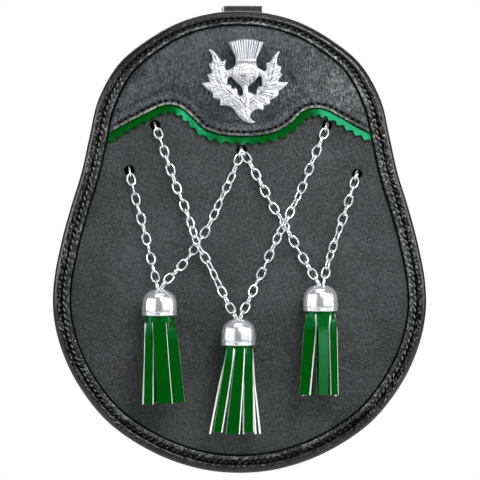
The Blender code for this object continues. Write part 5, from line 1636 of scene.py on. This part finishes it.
def makeFlap():
    rows = np.array(flap["rows"])
    right = flatPlaces((half, drop) for drop, half, _ in rows)
    right = smoothLine([(right[0][0] - 3 * mm, right[0][1])] + right, perSpan=8)
    edgeLine = np.vstack([right, right[::-1] * (-1, 1)])
    edgeLine = evenly(edgeLine, 300, closed=True)
    groove, grooveWidth = flap["groove"]

    def off(x, z):
        drop = dropAt(z)
        half = np.interp(drop, rows[:, 0], rows[:, 1]) * mm
        return np.interp(drop, rows[:, 0], rows[:, 2]) * mm * np.clip(1 - (x / half) ** 4, 0, 1)

    def depths(flat, edge):
        x, z = flat.T
        back = backFace(x, z) + pouch["gap"] + off(x, z)
        face = back + flap["leather"] + flap["waver"] * waves(flat, *flap["bumps"])
        face = face - groove * hump(edge - flap["stitchInset"], grooveWidth)
        return face - rounded(edge, flap["rounding"]), back

    mesh = sheetMesh("backFlap", [edgeLine], flap["spacing"], depths)
    addPiece("backFlap", mesh, finish["cantle"], "black_leather", "back_flap")
    line = edgeLine + sideways(edgeLine, closed=True) * flap["stitchInset"]
    y = backFace(*line.T) + pouch["gap"] + off(*line.T) + flap["leather"] - 0.15 * mm
    row = atDepth(line, y)
    count = round(lineLength(row, closed=True) / flap["stitchPitch"])
    sewn = sewRow("flapStitches", row, count, flap["stitch"], "blackThread", True, backwards)
    addPiece("flapStitches", sewn, None, "black_leather")


def makeStud():
    z = pouch["topZ"] - stud["drop"]
    y = float(backFace(0.0, z)) + 2 * pouch["gap"] + flap["leather"] + stud["standOff"]
    profile = [(r * mm, h * mm) for r, h in stud["profile"]]
    mesh = turnedMesh("pressStud", profile, (0.0, 0.0, 0.0), steps=48)
    lean = math.atan(pouch["backLean"]) - math.pi / 2
    turn = np.array([[1, 0, 0], [0, math.cos(lean), -math.sin(lean)], [0, math.sin(lean), math.cos(lean)]])
    for vertex in mesh.vertices:
        vertex.co = Vector(turn @ np.array(vertex.co)) + Vector((0.0, y, z))
    addPiece("pressStud", mesh, finish["polishedChrome"], "polished_chrome", "press_stud")


makeBack()
makeLoop()
makeFlap()
makeStud()
print("back, loop, flap and stud made")

studio = {
    "distance": 2.0,
    "frameWidth": 0.240,
    "middle": (0.25 * mm, -27.6 * mm, -101.0 * mm),
    "floorZ": -0.340,
    "floorHalf": 0.95,
    "gloom": 0.08,  # the brightness of the rest of the room
    # turn from the camera's side to the right, rise, distance, width, height, brightness
    "lights": {
        "leftBox": (-49, 12, 1.3, 1.10, 1.10, 1.18),
        "rightBox": (45, 19, 1.3, 1.25, 1.10, 1.06),
        "leftStrip": (-84, 12, 1.3, 0.10, 0.60, 26.0),
        "rightStrip": (84, 10, 1.3, 0.10, 0.64, 25.0),
        "keyBox": (24, 31, 0.56, 0.24, 0.22, 18.0),
        "topBox": (-10, 60, 1.3, 1.00, 0.40, 1.5),
        "topStrip": (0, 84, 1.3, 0.90, 0.30, 2.8),
        "rearBox": (180, 30, 1.3, 1.60, 1.00, 2.4),
    },
}


def makeStudio():
    scene = bpy.context.scene
    scene.view_settings.view_transform = "Standard"
    camera = bpy.data.objects.new("camera", bpy.data.cameras.new("camera"))
    scene.collection.objects.link(camera)
    x, y, z = studio["middle"]
    camera.location = (x, y - studio["distance"], z)
    camera.rotation_euler = (math.pi / 2, 0, 0)
    camera.data.sensor_width = 36.0
    camera.data.lens = camera.data.sensor_width * studio["distance"] / studio["frameWidth"]
    camera.data.clip_end = 50.0
    scene.camera = camera
    for name, (turn, rise, distance, width, height, brightness) in studio["lights"].items():
        light = bpy.data.lights.new(name, "AREA")
        light.shape = "RECTANGLE"
        light.size, light.size_y = width, height
        light.energy = brightness * math.pi * width * height
        holder = bpy.data.objects.new(name, light)
        scene.collection.objects.link(holder)
        turn, rise = math.radians(turn), math.radians(rise)
        away = Vector((math.sin(turn) * math.cos(rise), -math.cos(turn) * math.cos(rise), math.sin(rise)))
        holder.location = Vector(studio["middle"]) + away * distance
        holder.rotation_euler = (-away).to_track_quat("-Z", "Y").to_euler()
        holder.visible_camera = False
    world = bpy.data.worlds.new("studio")
    scene.world = world
    world.use_nodes = True
    tree = world.node_tree
    tree.nodes.clear()
    seen = addNode(tree, "ShaderNodeLightPath").outputs["Is Camera Ray"]
    white = (1.0, 1.0, 1.0, 1.0)
    room = addNode(tree, "ShaderNodeBackground", {"Color": white, "Strength": studio["gloom"]})
    paper = addNode(tree, "ShaderNodeBackground", {"Color": white, "Strength": 1.0})
    mix = addNode(tree, "ShaderNodeMixShader", {0: seen, 1: room.outputs[0], 2: paper.outputs[0]})
    addNode(tree, "ShaderNodeOutputWorld", {"Surface": mix.outputs[0]})
    floorMaterial, floorTree, shader = newMaterial("paleFloor")
    mottle = noiseAt(floorTree, objectPlace(floorTree), 3.0)
    pale = blendColours(floorTree, mottle, (0.70, 0.70, 0.70), (0.74, 0.74, 0.74))
    feed(floorTree, shader, {"Base Color": pale, "Roughness": 0.8})
    half, low = studio["floorHalf"], studio["floorZ"]
    corners = [(-half, -half, low), (half, -half, low), (half, half, low), (-half, half, low)]
    mesh = bpy.data.meshes.new("studioFloor")
    mesh.from_pydata(corners, [], [(0, 1, 2, 3)])
    mesh.materials.append(floorMaterial)
    floor = bpy.data.objects.new("studioFloor", mesh)
    scene.collection.objects.link(floor)


makeStudio()
print("studio lit")
